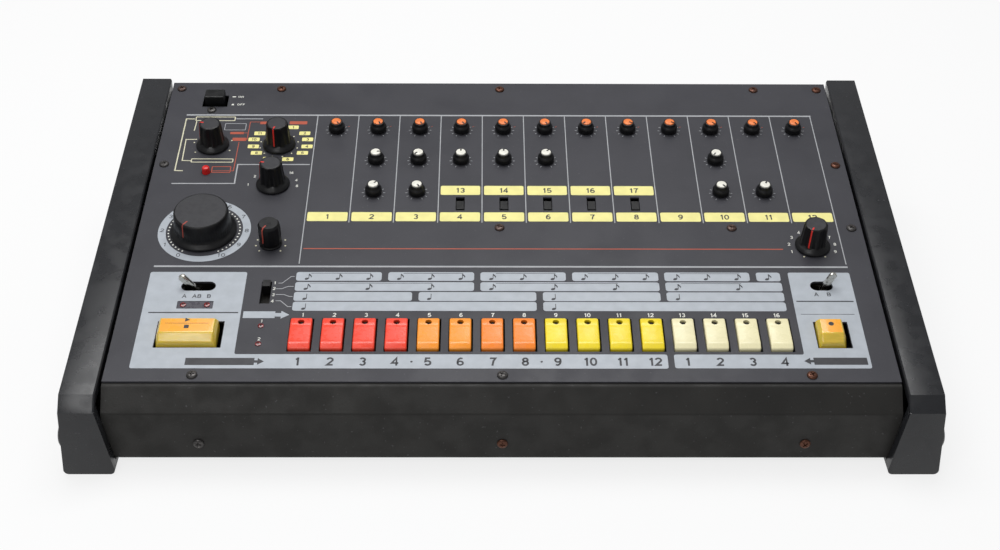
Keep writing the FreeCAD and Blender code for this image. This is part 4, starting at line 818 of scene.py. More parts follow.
def softened(node, edge, steps=3, angle=30):
    """The CAD part's own form with its sharp edges rounded."""
    build = bmesh.new()
    build.from_mesh(frame["nodes"][node].data)
    bmesh.ops.remove_doubles(build, verts=build.verts[:], dist=1e-6)
    bmesh.ops.dissolve_limit(build, angle_limit=math.radians(2), verts=build.verts[:], edges=build.edges[:])
    sharp = [e for e in build.edges if len(e.link_faces) == 2 and e.calc_face_angle(0) > math.radians(angle)]
    bmesh.ops.bevel(
        build, geom=sharp, offset=edge * MM, segments=steps, profile=0.5, affect="EDGES", clamp_overlap=True
    )
    return to_mesh(build, node + "_form", Matrix.Identity(4), 40)


# Operators, one for each piece or group of like pieces


class DRUM_OT_case(bpy.types.Operator):
    """Gives the panel, the tray, the cheeks and the parts inside their finishes"""

    bl_idname = "drum_machine.case"
    bl_label = "Case"

    def execute(self, context):
        FINISH.update(make_finishes())
        finishes = {
            "top_panel": "panel", "bottom_tray": "tray",
            "panel_boards": "phenolic", "base_electronics": "laminate", "rear_sockets": "socket",
            "voice_sliders": "black", "prescale_slider": "black",
        }
        for node, finish in finishes.items():
            item = frame["nodes"][node]
            for place in item.material_slots:
                place.material = FINISH[finish]
        for node in ("left_cheek", "right_cheek"):
            mesh = softened(node, 0.7, 3, 18)
            piece(node + "_dress", mesh, CASE, "cheek_plastic", "cheek", replaces=(node,))
        return {"FINISHED"}


def note(u, v, flag):
    """A plain musical note: a quaver with its flag, or a crotchet."""
    head = arc((-1.1, 0), 1.0, 35, 345, 14)
    points = [(-1.1 + (x + 1.1) * 1.25 - y * 0.1, y * 0.9 + (x + 1.1) * 0.3) for x, y in head]
    points += [(0.3, 0.2), (0.3, 3.0)]
    if flag:
        points += [(0.9, 2.5), (1.35, 1.7), (1.45, 0.9), (1.95, 1.9), (1.6, 2.9), (0.9, 3.8), (0.4, 4.5)]
    else:
        points += [(0.3, 4.5)]
    points += [(-0.1, 4.5)]
    return [(u + x, v + y) for x, y in points]


SCORE_ROWS = (
    (96.6, 104.4, ((-126.2, -73.7), (-69.7, -16.9), (-13, 39.5), (43.5, 96.5), (100.3, 152.8), (157, 171.8))),
    (87.6, 95.4, ((-126.2, -16.9), (-13, 96.5), (100.3, 171.8))),
    (78.8, 86.6, ((-126.2, -54.5), (-50.5, 21), (25, 96.5), (100.3, 171.8))),
    (70.2, 78.0, ((-126.2, 21), (25, 171.8))),
)
SCORE_NOTES = (
    (list(range(16)), True),
    ([0, 2, 4, 6, 8, 10, 12, 14], True),
    ([0, 4, 8, 12], False),
    ([0, 8], False),
)


class DRUM_OT_plates(bpy.types.Operator):
    """Prints the silver plates, the score bars and the crescent round the tempo knob"""

    bl_idname = "drum_machine.plates"
    bl_label = "Silver plates"

    def execute(self, context):
        left = [(-216, 22.4), (96.5, 22.4), (96.5, 33.8), (-156.6, 33.8), (-156.6, 104.3), (-216, 104.3)]
        right = [(100.3, 22.7), (215, 22.7), (215, 104.4), (176.8, 104.4), (176.8, 33.8), (100.3, 33.8)]
        holes = [
            rounded(-195.6, 87.5, -174.4, 95.7, 4.05),
            rounded(-195.9, 71.9, -174.1, 78.5, 0.3),
            rounded(-205.0, 39.0, -165.2, 61.2, 0.4),
        ]
        right_holes = [rounded(189, 88.3, 203, 96.5, 4.05), rounded(185.9, 39, 206.5, 61.2, 0.4)]
        shapes = [[softened_corners(left, 1.6)] + holes, [softened_corners(right, 1.6)] + right_holes]
        for low, high, bars in SCORE_ROWS:
            shapes += [[rounded(a, low, b, high, 1.7)] for a, b in bars]
        tempo = deck_spot("tempo_knob")
        middle = tempo[0] + CRESCENT_SHIFT, tempo[1]
        shapes.append([arc(middle, 29.3, 137, 436, 90) + arc(middle, 24.3, 422, 149, 84)])
        tag = [(-155.1, 63.9), (-136.0, 63.9), (-136.0, 65.2), (-132.4, 65.2), (-132.4, 63.4), (-127.5, 66.7)]
        tag += [(-132.4, 70.0), (-132.4, 68.2), (-136.0, 68.2), (-136.0, 69.6), (-155.1, 69.6)]
        shapes.append([tag])
        print_layer("silver_print", "silver", shapes)
        return {"FINISHED"}


class DRUM_OT_lines(bpy.types.Operator):
    """Prints the long lines, the brackets, the frames and the orange lines"""

    bl_idname = "drum_machine.lines"
    bl_label = "Lines"

    def execute(self, context):
        thin = settings("print").weight
        lines = [([(-216, 263.6), (215, 263.6)], 1.4), ([(-215, 109.5), (215, 109.5)], 1.4)]
        for k in range(13):
            u = -125.5 + COLUMN_PITCH * k
            lines.append(([(u, 262.9), (u, 112 if k in (0, 12) else 151.0)], thin))
        lines += [
            ([(-215.8, 189.6), (-174.6, 189.7), (-174.7, 209.5), (-126.8, 209.6)], 0.9),
            ([(-136.6, 94.4), (-134.3, 94.4), (-129.2, 100.4), (-127.2, 100.4)], 0.45),
            ([(-137.4, 89.4), (-134.1, 89.4), (-130.4, 91.5), (-127.1, 91.5)], 0.45),
            ([(-137.3, 84.3), (-132.4, 84.3), (-128.9, 82.6), (-126.9, 82.6)], 0.45),
            ([(-136.8, 78.8), (-133.8, 78.8), (-129.1, 73.8), (-126.8, 73.8)], 0.45),
            ([(-181.4, 259.3), (-163, 259.3)], 0.8),
        ]
        box_loops = frame_loops(-188.3, 246.6, -173.6, 254.2, 0.45)
        print_layer("line_print", "line", [[stroke(points, width)] for points, width in lines] + [box_loops])
        cream = [
            ([(-209.8, 259.1), (-215.6, 259.1), (-215.6, 203.1), (-210.2, 202.8)], 0.8),
            ([(-205.4, 236.4), (-212.7, 236.3), (-212.2, 213.6), (-206.4, 213.3)], 0.7),
            ([(-208.1, 256.4), (-208.5, 245.9)], 0.7),
        ]
        boxes = [frame_loops(-209.3, 256.9, -181.8, 261.7, 0.7)]
        boxes.append(frame_loops(-206.4, 211.6, -178.1, 215.7, 0.7))
        print_layer("bracket_print", "cream", [[stroke(points, width)] for points, width in cream] + boxes)
        orange = [
            ([(-124, 126), (177, 126)], 0.8),
            ([(-176, 243.5), (-171.5, 243.6)], 0.5),
            ([(-163, 255.8), (-171.3, 255.8), (-171.5, 236.5), (-173, 236.5)], 0.5),
            ([(-176.6, 233.5), (-176.8, 202.8), (-190.8, 202.8)], 0.5),
        ]
        boxes = [[rounded(-181.4, 234.8, -172, 238.2, 0.4)], [rounded(-144.3, 253.3, -132.3, 256.7, 0.4)]]
        boxes.append([rounded(-183.6, 242.2, -174.4, 244.6, 0.3)])
        boxes.append(frame_loops(-191.5, 200.9, -178.6, 207.5, 0.6))
        boxes.append([rounded(-164.4, 253.4, -159.2, 256.3, 0.3)])
        print_layer("orange_print", "orange", [[stroke(points, width)] for points, width in orange] + boxes)
        return {"FINISHED"}


INSTRUMENT_TAGS = (
    (-141.4, 249.9), (-133, 243.3), (-130.5, 236.6), (-130.3, 228.9), (-132.8, 222), (-142, 215.2),
    (-154.9, 215.6), (-163.6, 221.9), (-166.4, 228.8), (-166.7, 236.5), (-163.5, 243.1), (-155, 250),
)


class DRUM_OT_labels(bpy.types.Operator):
    """Prints the yellow labels and the instrument tags, each with a plain number"""

    bl_idname = "drum_machine.labels"
    bl_label = "Labels"

    def execute(self, context):
        shapes, numbers = [], []
        for k, u in enumerate(COLUMN_U):
            shapes.append([rounded(u - 12.9, 152.3, u + 12.9, 161.1, 1.1)])
            numbers += figure(str(k + 1), u, 156.7, 4.6, 1.05, 0.17)
        for n, k in enumerate(range(3, 8)):
            shapes.append([rounded(COLUMN_U[k] - 12.9, 178.5, COLUMN_U[k] + 12.9, 187.7, 1.1)])
            numbers += figure(str(n + 13), COLUMN_U[k], 183.1, 4.6, 1.05, 0.17)
        for n, (u, v) in enumerate(INSTRUMENT_TAGS):
            shapes.append([rounded(u - 3.75, v - 1.95, u + 3.75, v + 1.95, 0.6)])
            numbers += figure(str(n + 1), u, v, 2.5, 1.1, 0.17)
        print_layer("label_print", "label", shapes)
        print_layer("label_numbers", "dark", numbers, settings("print").film)
        return {"FINISHED"}


class DRUM_OT_figures(bpy.types.Operator):
    """Prints the plain numbers, the switch letters, the notes and the dividers"""

    bl_idname = "drum_machine.figures"
    bl_label = "Figures and notes"

    def execute(self, context):
        dark = []
        for (low, _, _), (steps, flag) in zip(SCORE_ROWS, SCORE_NOTES):
            dark += [[note(KEY_U[k] + 0.8 - 0.085 * k, low + 1.7, flag)] for k in steps]
        beams = [(KEY_U[k] + 2, KEY_U[min(k + 2, 15)] + 1, 103.3) for k in range(0, 15, 3)]
        beams += [(KEY_U[k] + 2, KEY_U[n] + 1, 94.4) for k, n in ((0, 4), (6, 10), (12, 14))]
        dark += [[stroke([(a, v), (b, v)], 0.3)] for a, b, v in beams]
        dark += [[stroke([(-212, 68.5), (-158.2, 68.5)], 0.9)], [stroke([(178.7, 78.8), (213.4, 78.8)], 0.9)]]
        dark.append([stroke([(179.8, 67.6), (212.1, 67.6)], 0.3)])
        arrow = [(-184.4, 25.0), (-144.3, 25.0), (-144.3, 26.9), (-142.4, 26.9), (-142.4, 25.2)]
        arrow += [(-138.7, 27.9)]
        arrow += [(-142.4, 30.6), (-142.4, 28.8), (-144.3, 28.8), (-144.3, 30.7), (-184.4, 30.7)]
        dark.append([arrow])
        dark.append([[(68.7 - 0.783 * u if u < -144.4 else 37.4 - u, v + 0.6) for u, v in arrow][::-1]])
        for k in range(16):
            dark += figure(str(k + 1 if k < 12 else k - 11), KEY_U[k], 27.9, 6.4, 1.02, 0.19)
        dark += [[circle((KEY_U[k] + 9.5, 27.8), 0.7, 12)] for k in (3, 7)]
        letters = [("A", -192.4, 82.8), ("AB", -184.8, 82.8), ("B", -177.5, 82.8)]
        for text, u, v in letters + [("A", 191.7, 84.9), ("B", 199.4, 84.9)]:
            dark += figure(text, u, v, 3.1, 1.15)
        tempo = deck_spot("tempo_knob")
        for k in range(11):
            u, v = arc((tempo[0] + CRESCENT_SHIFT, tempo[1]), 26.8, 240 - 30 * k, 0, 1)[0]
            dark += figure(str(k), u, v, 3.3, 1.3, 0.13)
        print_layer("dark_print", "dark", dark, settings("print").film)
        pale = figure("ON", -181, 284.6, 2.1, 1.1) + figure("OFF", -180, 275.7, 2.1, 1.1)
        for k in range(16):
            pale += figure(str(k + 1), KEY_U[k], 66.7, 3.2, 1.0, 0.17)
        pale.append([stroke([(-186.9, 284.6), (-184.6, 284.6)], 1.0)])
        pale.append([rounded(-186.5, 274.8, -184.9, 276.3, 0.2)])
        for k, v in enumerate((94.6, 89.6, 84.1, 78.6)):
            pale += figure(str(k + 1), -138.7, v, 2.5)
        volume = deck_spot("volume_knob")
        for k in range(9):
            u, v = arc(volume, 14.6, 200.5 - 27.6 * k, 0, 1)[0]
            pale += figure(str(k + 1), u, v, 2.6)
        fill = deck_spot("fill_knob")
        places = [("1", -16.4, 0), ("2", -12.8, 8.6), ("4", 14.9, 4.7), ("8", 15.8, -1.2), ("16", 10.9, 12.3)]
        for text, du, dv in places:
            pale += figure(text, fill[0] + du, fill[1] + dv, 2.4)
        pale += figure("1", -143.4, 61.4, 2.4) + figure("2", -143.4, 46.3, 2.4)
        print_layer("pale_print", "white", pale)
        return {"FINISHED"}


class DRUM_OT_dials(bpy.types.Operator):
    """Prints the tick marks and the dots round the knobs with one node tree"""

    bl_idname = "drum_machine.dials"
    bl_label = "Dial marks"

    def execute(self, context):
        film = settings("print").film
        tree = dial_tree()
        build = bmesh.new()
        box(build, (-0.7, -0.17, -SINK), (0.7, 0.17, film))
        tick = new_object("tick_mark", to_mesh(build, "tick_mark", Matrix.Identity(4)))
        build = bmesh.new()
        turned(build, (0, 0), [(0, -SINK), (0.55, -SINK), (0.55, film), (0, film)], 12)
        dot = new_object("dot_mark", to_mesh(build, "dot_mark", Matrix.Identity(4)))
        small = [deck_spot(node) + (0,) for node in LEVEL_NODES + WHITE_NODES]
        level = small[: len(LEVEL_NODES)]
        words = ("tempo", "fine_tempo", "volume", "mode", "instrument")
        tempo, fine, volume, mode, instrument = ([deck_spot(word + "_knob") + (0,)] for word in words)
        shifted = [(tempo[0][0] + 0.4, tempo[0][1], 0)]
        sets = (
            ("small_knob_ticks", tick, small, 11, 6.9, 240, -30, "line"),
            ("level_red_ticks", tick, level, 1, 8.9, 27, 0, "orange"),
            ("tempo_dots", dot, shifted, 41, 22.5, 240, -7.5, "white"),
            ("fine_tempo_dots", dot, fine, 9, 9.4, 225, -33.75, "cream"),
            ("volume_dots", dot, volume, 2, 11.9, 236, 68, "cream"),
            ("mode_dots", dot, mode, 6, 13.2, 215, -48, "cream"),
            ("instrument_dots", dot, instrument, 12, 12.9, 255, -30, "cream"),
        )
        for name, mark, places, count, radius, first, step, finish in sets:
            values = {
                "Part": mark, "Count": count, "Radius": radius, "First": math.radians(first),
                "Step": math.radians(step), "Finish": FINISH[finish],
            }
            mesh = grown(tree, name, places, values)
            mesh.transform(DECK)
            piece(name, mesh, CASE, "panel_paint")
        discard(tick, dot)
        return {"FINISHED"}


def knob_piece(node, profile, finishes, sides, aim, flutes, depth, extra, angle=38):
    """One knob in its place, standing for its CAD node."""
    build = bmesh.new()
    centre = deck_spot(node)
    turned(build, centre, profile, sides, aim, flutes, depth)
    turned(build, centre, [(0, -3), (1.6, -3), (1.6, 0.9), (0, 0.9)], 16)
    extra(build, centre)
    mesh = to_mesh(build, node + "_form", angle=angle)
    return piece(node + "_dress", mesh, node, "knob_plastic", *finishes, replaces=(node,))


class DRUM_OT_small_knobs(bpy.types.Operator):
    """Makes the level, tone, tuning and decay knobs with their coloured caps"""

    bl_idname = "drum_machine.small_knobs"
    bl_label = "Small knobs"

    def execute(self, context):
        profile = [(0, 0.5), (5.3, 0.5), (5.5, 0.75), (5.5, 3.3), (5.38, 3.9), (5.05, 4.5)]
        profile += [(4.7, 4.95), (4.45, 5.25, 0.3), (4.35, 5.6, 1), (4.15, 7.0, 1), (4.0, 7.3, 0.5)]
        profile += [(3.6, 7.42), (3.35, 7.36), (3.28, 7.1), (0, 7.1)]
        cap = [(0, 6.9), (3.2, 6.9), (3.2, 7.65), (3.05, 7.9), (2.7, 8.0), (0, 8.03)]
        for nodes, finish in ((LEVEL_NODES, "cap_orange"), (WHITE_NODES, "cap_white")):
            for node in nodes:
                # At rest a small knob stands its joint's low limit away from the end of its 300 degree turn.
                aim = math.radians(90 - 150 - JOINTS[node + "_turn"]["range_deg"][0])

                def extra(build, centre, aim=aim):
                    turned(build, centre, cap, 32, finish=1)
                    ribbon(build, centre, [(0.9, 8.0), (2.7, 8.0), (3.21, 7.75)], aim, 1.0, 0.05, 0.3)

                knob_piece(node, profile, ("knob", finish), 48, aim, 16, 0.16, extra)
        return {"FINISHED"}


class DRUM_OT_large_knobs(bpy.types.Operator):
    """Makes the selectors, the volume knob and the two tempo knobs with their painted lines"""

    bl_idname = "drum_machine.large_knobs"
    bl_label = "Large knobs"

    def execute(self, context):
        own = settings("knob")
        selector = [(0, 0.5), (10.7, 0.5), (11, 0.8), (11, 1.4), (10.75, 1.8), (9.9, 2.75)]
        selector += [(9.3, 3.25), (8.75, 3.6), (8.45, 4.1, 0.2), (8.38, 4.5, 1), (7.35, 17.2, 1)]
        selector += [(7.22, 17.9, 0.8), (6.95, 18.45, 0.3), (6.4, 18.75), (5.9, 18.8), (5.6, 18.6), (0, 18.6)]
        line = [(4.2, 18.7), (6.3, 18.77), (7.15, 18.1), (7.4, 16.8), (8.36, 4.8)]
        for node, turn in LARGE_KNOBS.items():
            aim = math.radians(turn)

            def extra(build, centre, aim=aim):
                # The top disc takes the lighter top colour, a painted sheen of the overhead light.
                turned(build, centre, [(0, 18.3), (5.8, 18.3), (5.8, 18.72), (0, 18.72)], 40, finish=2)
                ribbon(build, centre, line, aim, 0.95, 0.07, 0.5, 1)

            finishes = ("knob", "pointer", "knob_top")
            knob_piece(node, selector, finishes, 14 * 9, aim, own.flutes, own.flute_depth, extra)
        tempo = [(0, 0.5), (20.7, 0.5), (21, 0.8), (21, 1.5), (20.7, 2.0), (19.4, 2.9)]
        tempo += [(18.6, 3.4), (18.25, 3.9, 0.2), (18.2, 4.2, 1), (18.0, 6.6, 1), (17.9, 6.9), (17.15, 15.4)]
        tempo += [(17.0, 16.1), (16.6, 16.6), (16.0, 16.78), (15.7, 16.62), (0, 16.62)]

        def tempo_line(build, centre):
            # The top disc takes the lighter top colour, a painted sheen of the overhead light.
            turned(build, centre, [(0, 16.3), (15.8, 16.3), (15.8, 16.7), (0, 16.74)], 90, finish=2)
            path = [(12.4, 16.73), (16.2, 16.77), (16.95, 16.15), (17.25, 14.6), (17.85, 7.2)]
            ribbon(build, centre, path, TEMPO_AIM, 0.8, 0.07, 0.5, 1)

        finishes = ("knob", "worn_pointer", "knob_top")
        knob_piece("tempo_knob", tempo, finishes, 180, TEMPO_AIM, 60, 0.35, tempo_line)
        fine = [(0, 1.2), (6.3, 1.2), (7.05, 4.5), (7.2, 13.2), (6.95, 16.0), (5.9, 17.4), (0, 17.4)]
        skirt = [(0, 0.5), (6.9, 0.5), (7.2, 0.8), (7.2, 1.4), (6.8, 1.9), (0, 1.9)]

        def fine_line(build, centre):
            turned(build, centre, skirt, 48)
            path = [(2.8, 17.38), (5.92, 17.38), (6.95, 16.0), (7.2, 13.2), (7.08, 6.0)]
            ribbon(build, centre, path, FINE_AIM, 0.8, 0.07, 0.5, 1)

        knob_piece("fine_tempo_knob", fine, finishes, 12, FINE_AIM, 0, 0, fine_line, 20)
        return {"FINISHED"}


def key_cap(width, run, rise, rings, corner, wall=1.6, skirt=-5.0, bound=None):
    """A hollow key: side rings of (inset, drop) up to a crowned top whose height is rise(v)."""
    build = bmesh.new()
    half_u, half_v = width / 2, run / 2

    def outline(inset):
        """The right half of the outline, from front to rear; the left half mirrors it."""
        u, v, r = half_u - inset, half_v - inset, max(corner - inset * 0.6, 0.25)
        points = arc((u - r, r - v), r, -90, -30, 2)
        count = 26
        points += [(u, -v + r + (2 * v - 2 * r) * k / count) for k in range(count + 1)]
        return points + arc((u - r, v - r), r, 30, 90, 2)

    def ring(inset, height):
        right = outline(inset)
        left = [(-u, v) for u, v in right][::-1]
        return [build.verts.new((u, v, height(v))) for u, v in right + left]

    walls = [ring(wall, lambda v: rise(v) - wall), ring(wall, lambda v: skirt), ring(0, lambda v: skirt)]
    walls += [ring(inset, lambda v, drop=drop: rise(v) - drop) for inset, drop in rings]
    count = len(walls[0])
    for low, high in zip(walls, walls[1:]):
        for k in range(count):
            build.faces.new((low[k], low[(k + 1) % count], high[(k + 1) % count], high[k]))
    for end, flip in ((walls[0], True), (walls[-1], False)):
        for k in range(count // 2 - 1):
            quad = [end[k], end[k + 1], end[count - 2 - k], end[count - 1 - k]]
            face = build.faces.new(quad[::-1] if flip else quad)
            if bound is not None and not flip and min(v.co.y for v in quad) > bound - 0.01:
                face.material_index = 1
    return build


def height_at(side, v):
    """The height at v of a key's top, between the (v, height) points of its side view."""
    for (a, low), (b, high) in zip(side, side[1:]):
        if v <= b:
            return low + (high - low) * (v - a) / (b - a)
    return side[-1][1]


def step_rise(v):
    """Height of a step key's top: a low front, a ridge, a long dish and a plain rear pad."""
    side = [(-12.7, 0.35), (-12.2, 0.8), (-8.8, 2.16), (-8.3, 2.22), (-7.6, 2.04), (-3, 1.92), (3, 1.84)]
    side += [(5.6, 1.82), (5.75, 1.64), (6.1, 1.64), (6.25, 1.82), (8.8, 1.78), (12.7, 1.4)]
    return height_at(side, v)


class DRUM_OT_step_keys(bpy.types.Operator):
    """Makes the sixteen step keys, each with the hole for its lamp"""

    bl_idname = "drum_machine.step_keys"
    bl_label = "Step keys"

    def execute(self, context):
        edge = settings("key").edge
        quarter = [(0, 1), (0.07, 0.6), (0.3, 0.28), (0.62, 0.08), (1, 0)]
        rings = [(inset * edge, drop * edge) for inset, drop in quarter]
        build = key_cap(13.0, 25.4, step_rise, rings, 1.1)
        bmesh.ops.recalc_face_normals(build, faces=build.faces[:])
        form = new_object("step_key_form", bpy.data.meshes.new("step_key_form"))
        build.to_mesh(form.data)
        build.free()
        drill = bmesh.new()
        bore = [(0, -8), (1.9, -8), (1.9, 1.3), (2.15, 2.4), (0, 2.4)]
        turned(drill, (0, LAMP_V - STEP_KEY_V), bore, 24)
        tool = new_object("lamp_drill", to_mesh(drill, "lamp_drill", Matrix.Identity(4)))
        cut = form.modifiers.new("lamp_hole", "BOOLEAN")
        cut.object, cut.operation, cut.solver = tool, "DIFFERENCE", "EXACT"
        bored = evaluated_mesh(form)
        discard(form, tool)
        for node, word, u in zip(KEY_NODES, KEY_COLOURS, KEY_U):
            mesh = bored.copy()
            mesh.transform(DECK @ Matrix.Translation((u - 0.25, STEP_KEY_V, 0)))
            mesh.shade_smooth()
            mesh.set_sharp_from_angle(angle=math.radians(32))
            piece(node + "_dress", mesh, node, "key_" + word, "key_" + word, replaces=(node,))
        bpy.data.meshes.remove(bored)
        return {"FINISHED"}


def wide_rise(v):
    """Height of a wide key's top: a low lip, a front slope and a flat rear plate."""
    side = [(-10.0, 0.5), (-9.3, 0.9), (-8.8, 1.15), (-3.8, 5.15), (-3.3, WIDE_KEY_TOP), (10.0, WIDE_KEY_TOP)]
    return height_at(side, v)


class DRUM_OT_wide_keys(bpy.types.Operator):
    """Makes the two clear amber keys with their orange top plates and plain symbols"""

    bl_idname = "drum_machine.wide_keys"
    bl_label = "Wide keys"

    def execute(self, context):
        rings = [(0, 3.6), (0.15, 3.1), (1.55, 0.45), (1.8, 0.14), (2.2, 0)]
        for node, u, width in (("start_key", START_U, 35.4), ("tap_key", TAP_U, 16.2)):
            build = key_cap(width, 20, wide_rise, rings, 0.8, bound=-3.3)
            place = DECK @ Matrix.Translation((u, WIDE_KEY_V, 0))
            mesh = to_mesh(build, node + "_form", place, 25)
            piece(node + "_dress", mesh, node, "key_amber", "amber", "amber_top", replaces=(node,))
        top = DECK @ Matrix.Translation((0, 0, WIDE_KEY_TOP))
        start = [[[(-187.6, 55.3), (-184.6, 56.9), (-187.6, 58.5)]], [rounded(-187.6, 49.9, -184.8, 52.7)]]
        start.append([stroke([(-199.1, 54.1), (-173.3, 54.1)], 0.25)])
        print_layer("start_mark", "dark", start, 0, top, "start_key", "key_amber")
        print_layer("tap_mark", "dark", [[circle((TAP_U, 54.2), 1.6)]], 0, top, "tap_key", "key_amber")
        return {"FINISHED"}


class DRUM_OT_toggles(bpy.types.Operator):
    """Makes the plated toggle levers and the round clear button"""

    bl_idname = "drum_machine.toggles"
    bl_label = "Toggles and clear button"

    def execute(self, context):
        for node in ("basic_toggle", "fill_toggle"):
            mesh = softened(node, 0.55)
            piece(node + "_dress", mesh, node, "toggle_chrome", "chrome", replaces=(node,))
        button = softened("power_button", 1.3, 4)
        node = "power_button"
        piece(node + "_dress", button, node, "button_black", "black", replaces=(node,))
        build = bmesh.new()
        profile = [(0, -4), (2.7, -4), (2.7, 0.6), (2.68, 1.0, 1), (2.6, 3.2, 1), (2.4, 3.9, 0.4)]
        profile += [(1.9, 4.3), (0, 4.4)]
        turned(build, (-194.6, 201.5), profile, 60, 0, 12, 0.25)
        node = "clear_button"
        mesh = to_mesh(build, node + "_form")
        piece(node + "_dress", mesh, node, "button_red", "red_button", replaces=(node,))
        return {"FINISHED"}


class DRUM_OT_lamps(bpy.types.Operator):
    """Sets the red lamps and the smoked window over the pair beside the switch"""

    bl_idname = "drum_machine.lamps"
    bl_label = "Lamps"

    def execute(self, context):
        key_lens = [(0, -3.5), (1.56, -3.5), (1.56, -1.1), (1.5, -0.75), (1.25, -0.4), (0.8, -0.2)]
        key_lens += [(0, -0.14)]
        panel_lens = [(0, -3.5), (1.4, -3.5), (1.4, -0.05), (1.95, -0.05), (1.95, 0.15), (1.8, 0.4)]
        panel_lens += [(1.2, 0.62), (0, 0.7)]
        out = (DECK.to_3x3() @ Vector((0, 0, 1))).normalized()
        tree = hardware_tree()
        spots = [(-143.5, 57.3), (-143.5, 42.2), (-192.2, 75.2), (-177.8, 75.2)]
        for name, profile, places in (
            ("key_lamps", key_lens, [(u, LAMP_V) for u in KEY_U]), ("panel_lamps", panel_lens, spots),
        ):
            build = bmesh.new()
            turned(build, (0, 0), profile, 20)
            lens = new_object(name + "_lens", to_mesh(build, name + "_lens", Matrix.Scale(MM, 4)))
            points = [DECK @ Vector((u, v, 0)) for u, v in places]
            values = {"Part": lens, "Turn": 0.0, "Finish": FINISH["lamp"]}
            piece(name, grown(tree, name, points, values, [out] * len(points)), CASE, "button_red")
            discard(lens)
        build = bmesh.new()
        box(build, (-195.6, 72.2, -1.3), (-174.4, 78.2, -0.15))
        piece("lamp_window", to_mesh(build, "lamp_window"), CASE, "button_black", "smoke")
        return {"FINISHED"}


class DRUM_OT_hardware(bpy.types.Operator):
    """Sets the cross-head screws of the panel and front, the cheek bolts and the rear socket nuts"""

    bl_idname = "drum_machine.hardware"
    bl_label = "Screws, bolts and nuts"

    def execute(self, context):
        own = settings("hardware")
        tree = hardware_tree()
        rear = 293.7
        deck = [(-179, 17), (0, 17), (179, 17), (-153.5, rear), (0, rear), (179, rear)]
        deck += [(-223.5, rear), (223.5, rear), (-223.5, 209.5), (223.5, 209.5), (223.5, 146)]
        deck += [(-199.5, 269), (-1, 146), (147, 146)]
        out = (DECK.to_3x3() @ Vector((0, 0, 1))).normalized()
        points = [DECK @ Vector((u, v, 0)) for u, v in deck]
        facing = [out] * len(points)
        front = CAD_BOX[0].y + FRONT_SET_BACK * MM
        for x in (-176, 0, 176):
            points.append(Vector((x * MM, front, FRONT_SCREW_Z * MM)))
            facing.append(Vector((0, -1, 0)))
        screw = cross_head("panel_screw", own.head, 1.5, 1.45, 6)
        values = {"Part": screw, "Seed": own.seed, "Finish": FINISH["steel"]}
        mesh = grown(tree, "screws", points, values, facing)
        piece("screws_dress", mesh, CASE, "screw_steel", replaces=("case_screws",))
        bolt = cross_head("cheek_bolt", own.bolt, 3.2, 2.2, 20)
        points, facing = [], []
        for side in (-1, 1):
            for y in (CAD_BOX[0].y + BOLT_FROM_END * MM, CAD_BOX[1].y - BOLT_FROM_END * MM):
                points.append(Vector((side * BOLT_FACE_X * MM, y, BOLT_Z * MM)))
                facing.append(Vector((side, 0, 0)))
        values = {"Part": bolt, "Seed": own.seed + 1, "Finish": FINISH["bolt"]}
        piece("bolts_dress", grown(tree, "bolts", points, values, facing), CASE, "screw_steel")
        build = bmesh.new()
        nut = [(4.3, 0), (7.1, 0), (7.4, 0.25), (7.4, 2.2), (7.0, 2.5), (4.3, 2.5), (4.3, 0)]
        bush = [(3.3, -2), (4.6, -2), (4.6, 3.0), (4.35, 3.28), (3.5, 3.28), (3.3, 3.0), (3.3, -2)]
        turned(build, (0, 0), nut, 6)
        turned(build, (0, 0), bush, 24)
        bmesh.ops.remove_doubles(build, verts=build.verts[:], dist=1e-4)
        socket = new_object("socket_nut", to_mesh(build, "socket_nut", Matrix.Scale(MM, 4), 25))
        spots = [m["pos_m"] for m in frame["record"]["mounts"] if "_jack_" in m["name"]]
        points = [Vector((x, y - 0.0032, z)) for x, y, z in spots]
        values = {"Part": socket, "Seed": own.seed, "Finish": FINISH["nickel"]}
        mesh = grown(tree, "nuts", points, values, [Vector((0, 1, 0))] * len(points))
        piece("socket_nuts", mesh, CASE, "screw_steel")
        wall = Matrix(((-MM, 0, 0, 0), (0, 0, MM, points[0].y), (0, MM, 0, 0), (0, 0, 0, 1)))
        numbers = []
        for n, (x, y, z) in enumerate(spots):
            numbers += figure(str(n + 1), -x / MM, z / MM + 10.6, 2.8)
        print_layer("socket_numbers", "white", numbers, 0, wall)
        discard(screw, bolt, socket)
        return {"FINISHED"}


def camera(own):
    """The camera at the photograph's place and angle."""
    data = bpy.data.cameras.new("camera")
    data.lens, data.sensor_width, data.sensor_fit = own.lens, 36, "HORIZONTAL"
    pitch, roll, yaw = own.aim
    turn = Matrix.Rotation(yaw, 3, "Z") @ Matrix.Rotation(pitch, 3, "X") @ Matrix.Rotation(roll, 3, "Y")
    right, ahead, up = turn.col
    item = new_object("camera", data)
    item.matrix_world = Matrix.Translation(own.place) @ Matrix((right, up, -ahead)).transposed().to_4x4()
    bpy.context.scene.camera = item


def lamp(name, power, size, place, target):
    """A soft square lamp that faces a point."""
    data = bpy.data.lights.new(name, "AREA")
    data.energy, data.shape, data.size, data.size_y = power, "RECTANGLE", size[0], size[1]
    item = new_object(name, data)
    way = Vector(target) - Vector(place)
    item.matrix_world = Matrix.Translation(place) @ way.to_track_quat("-Z", "Y").to_matrix().to_4x4()


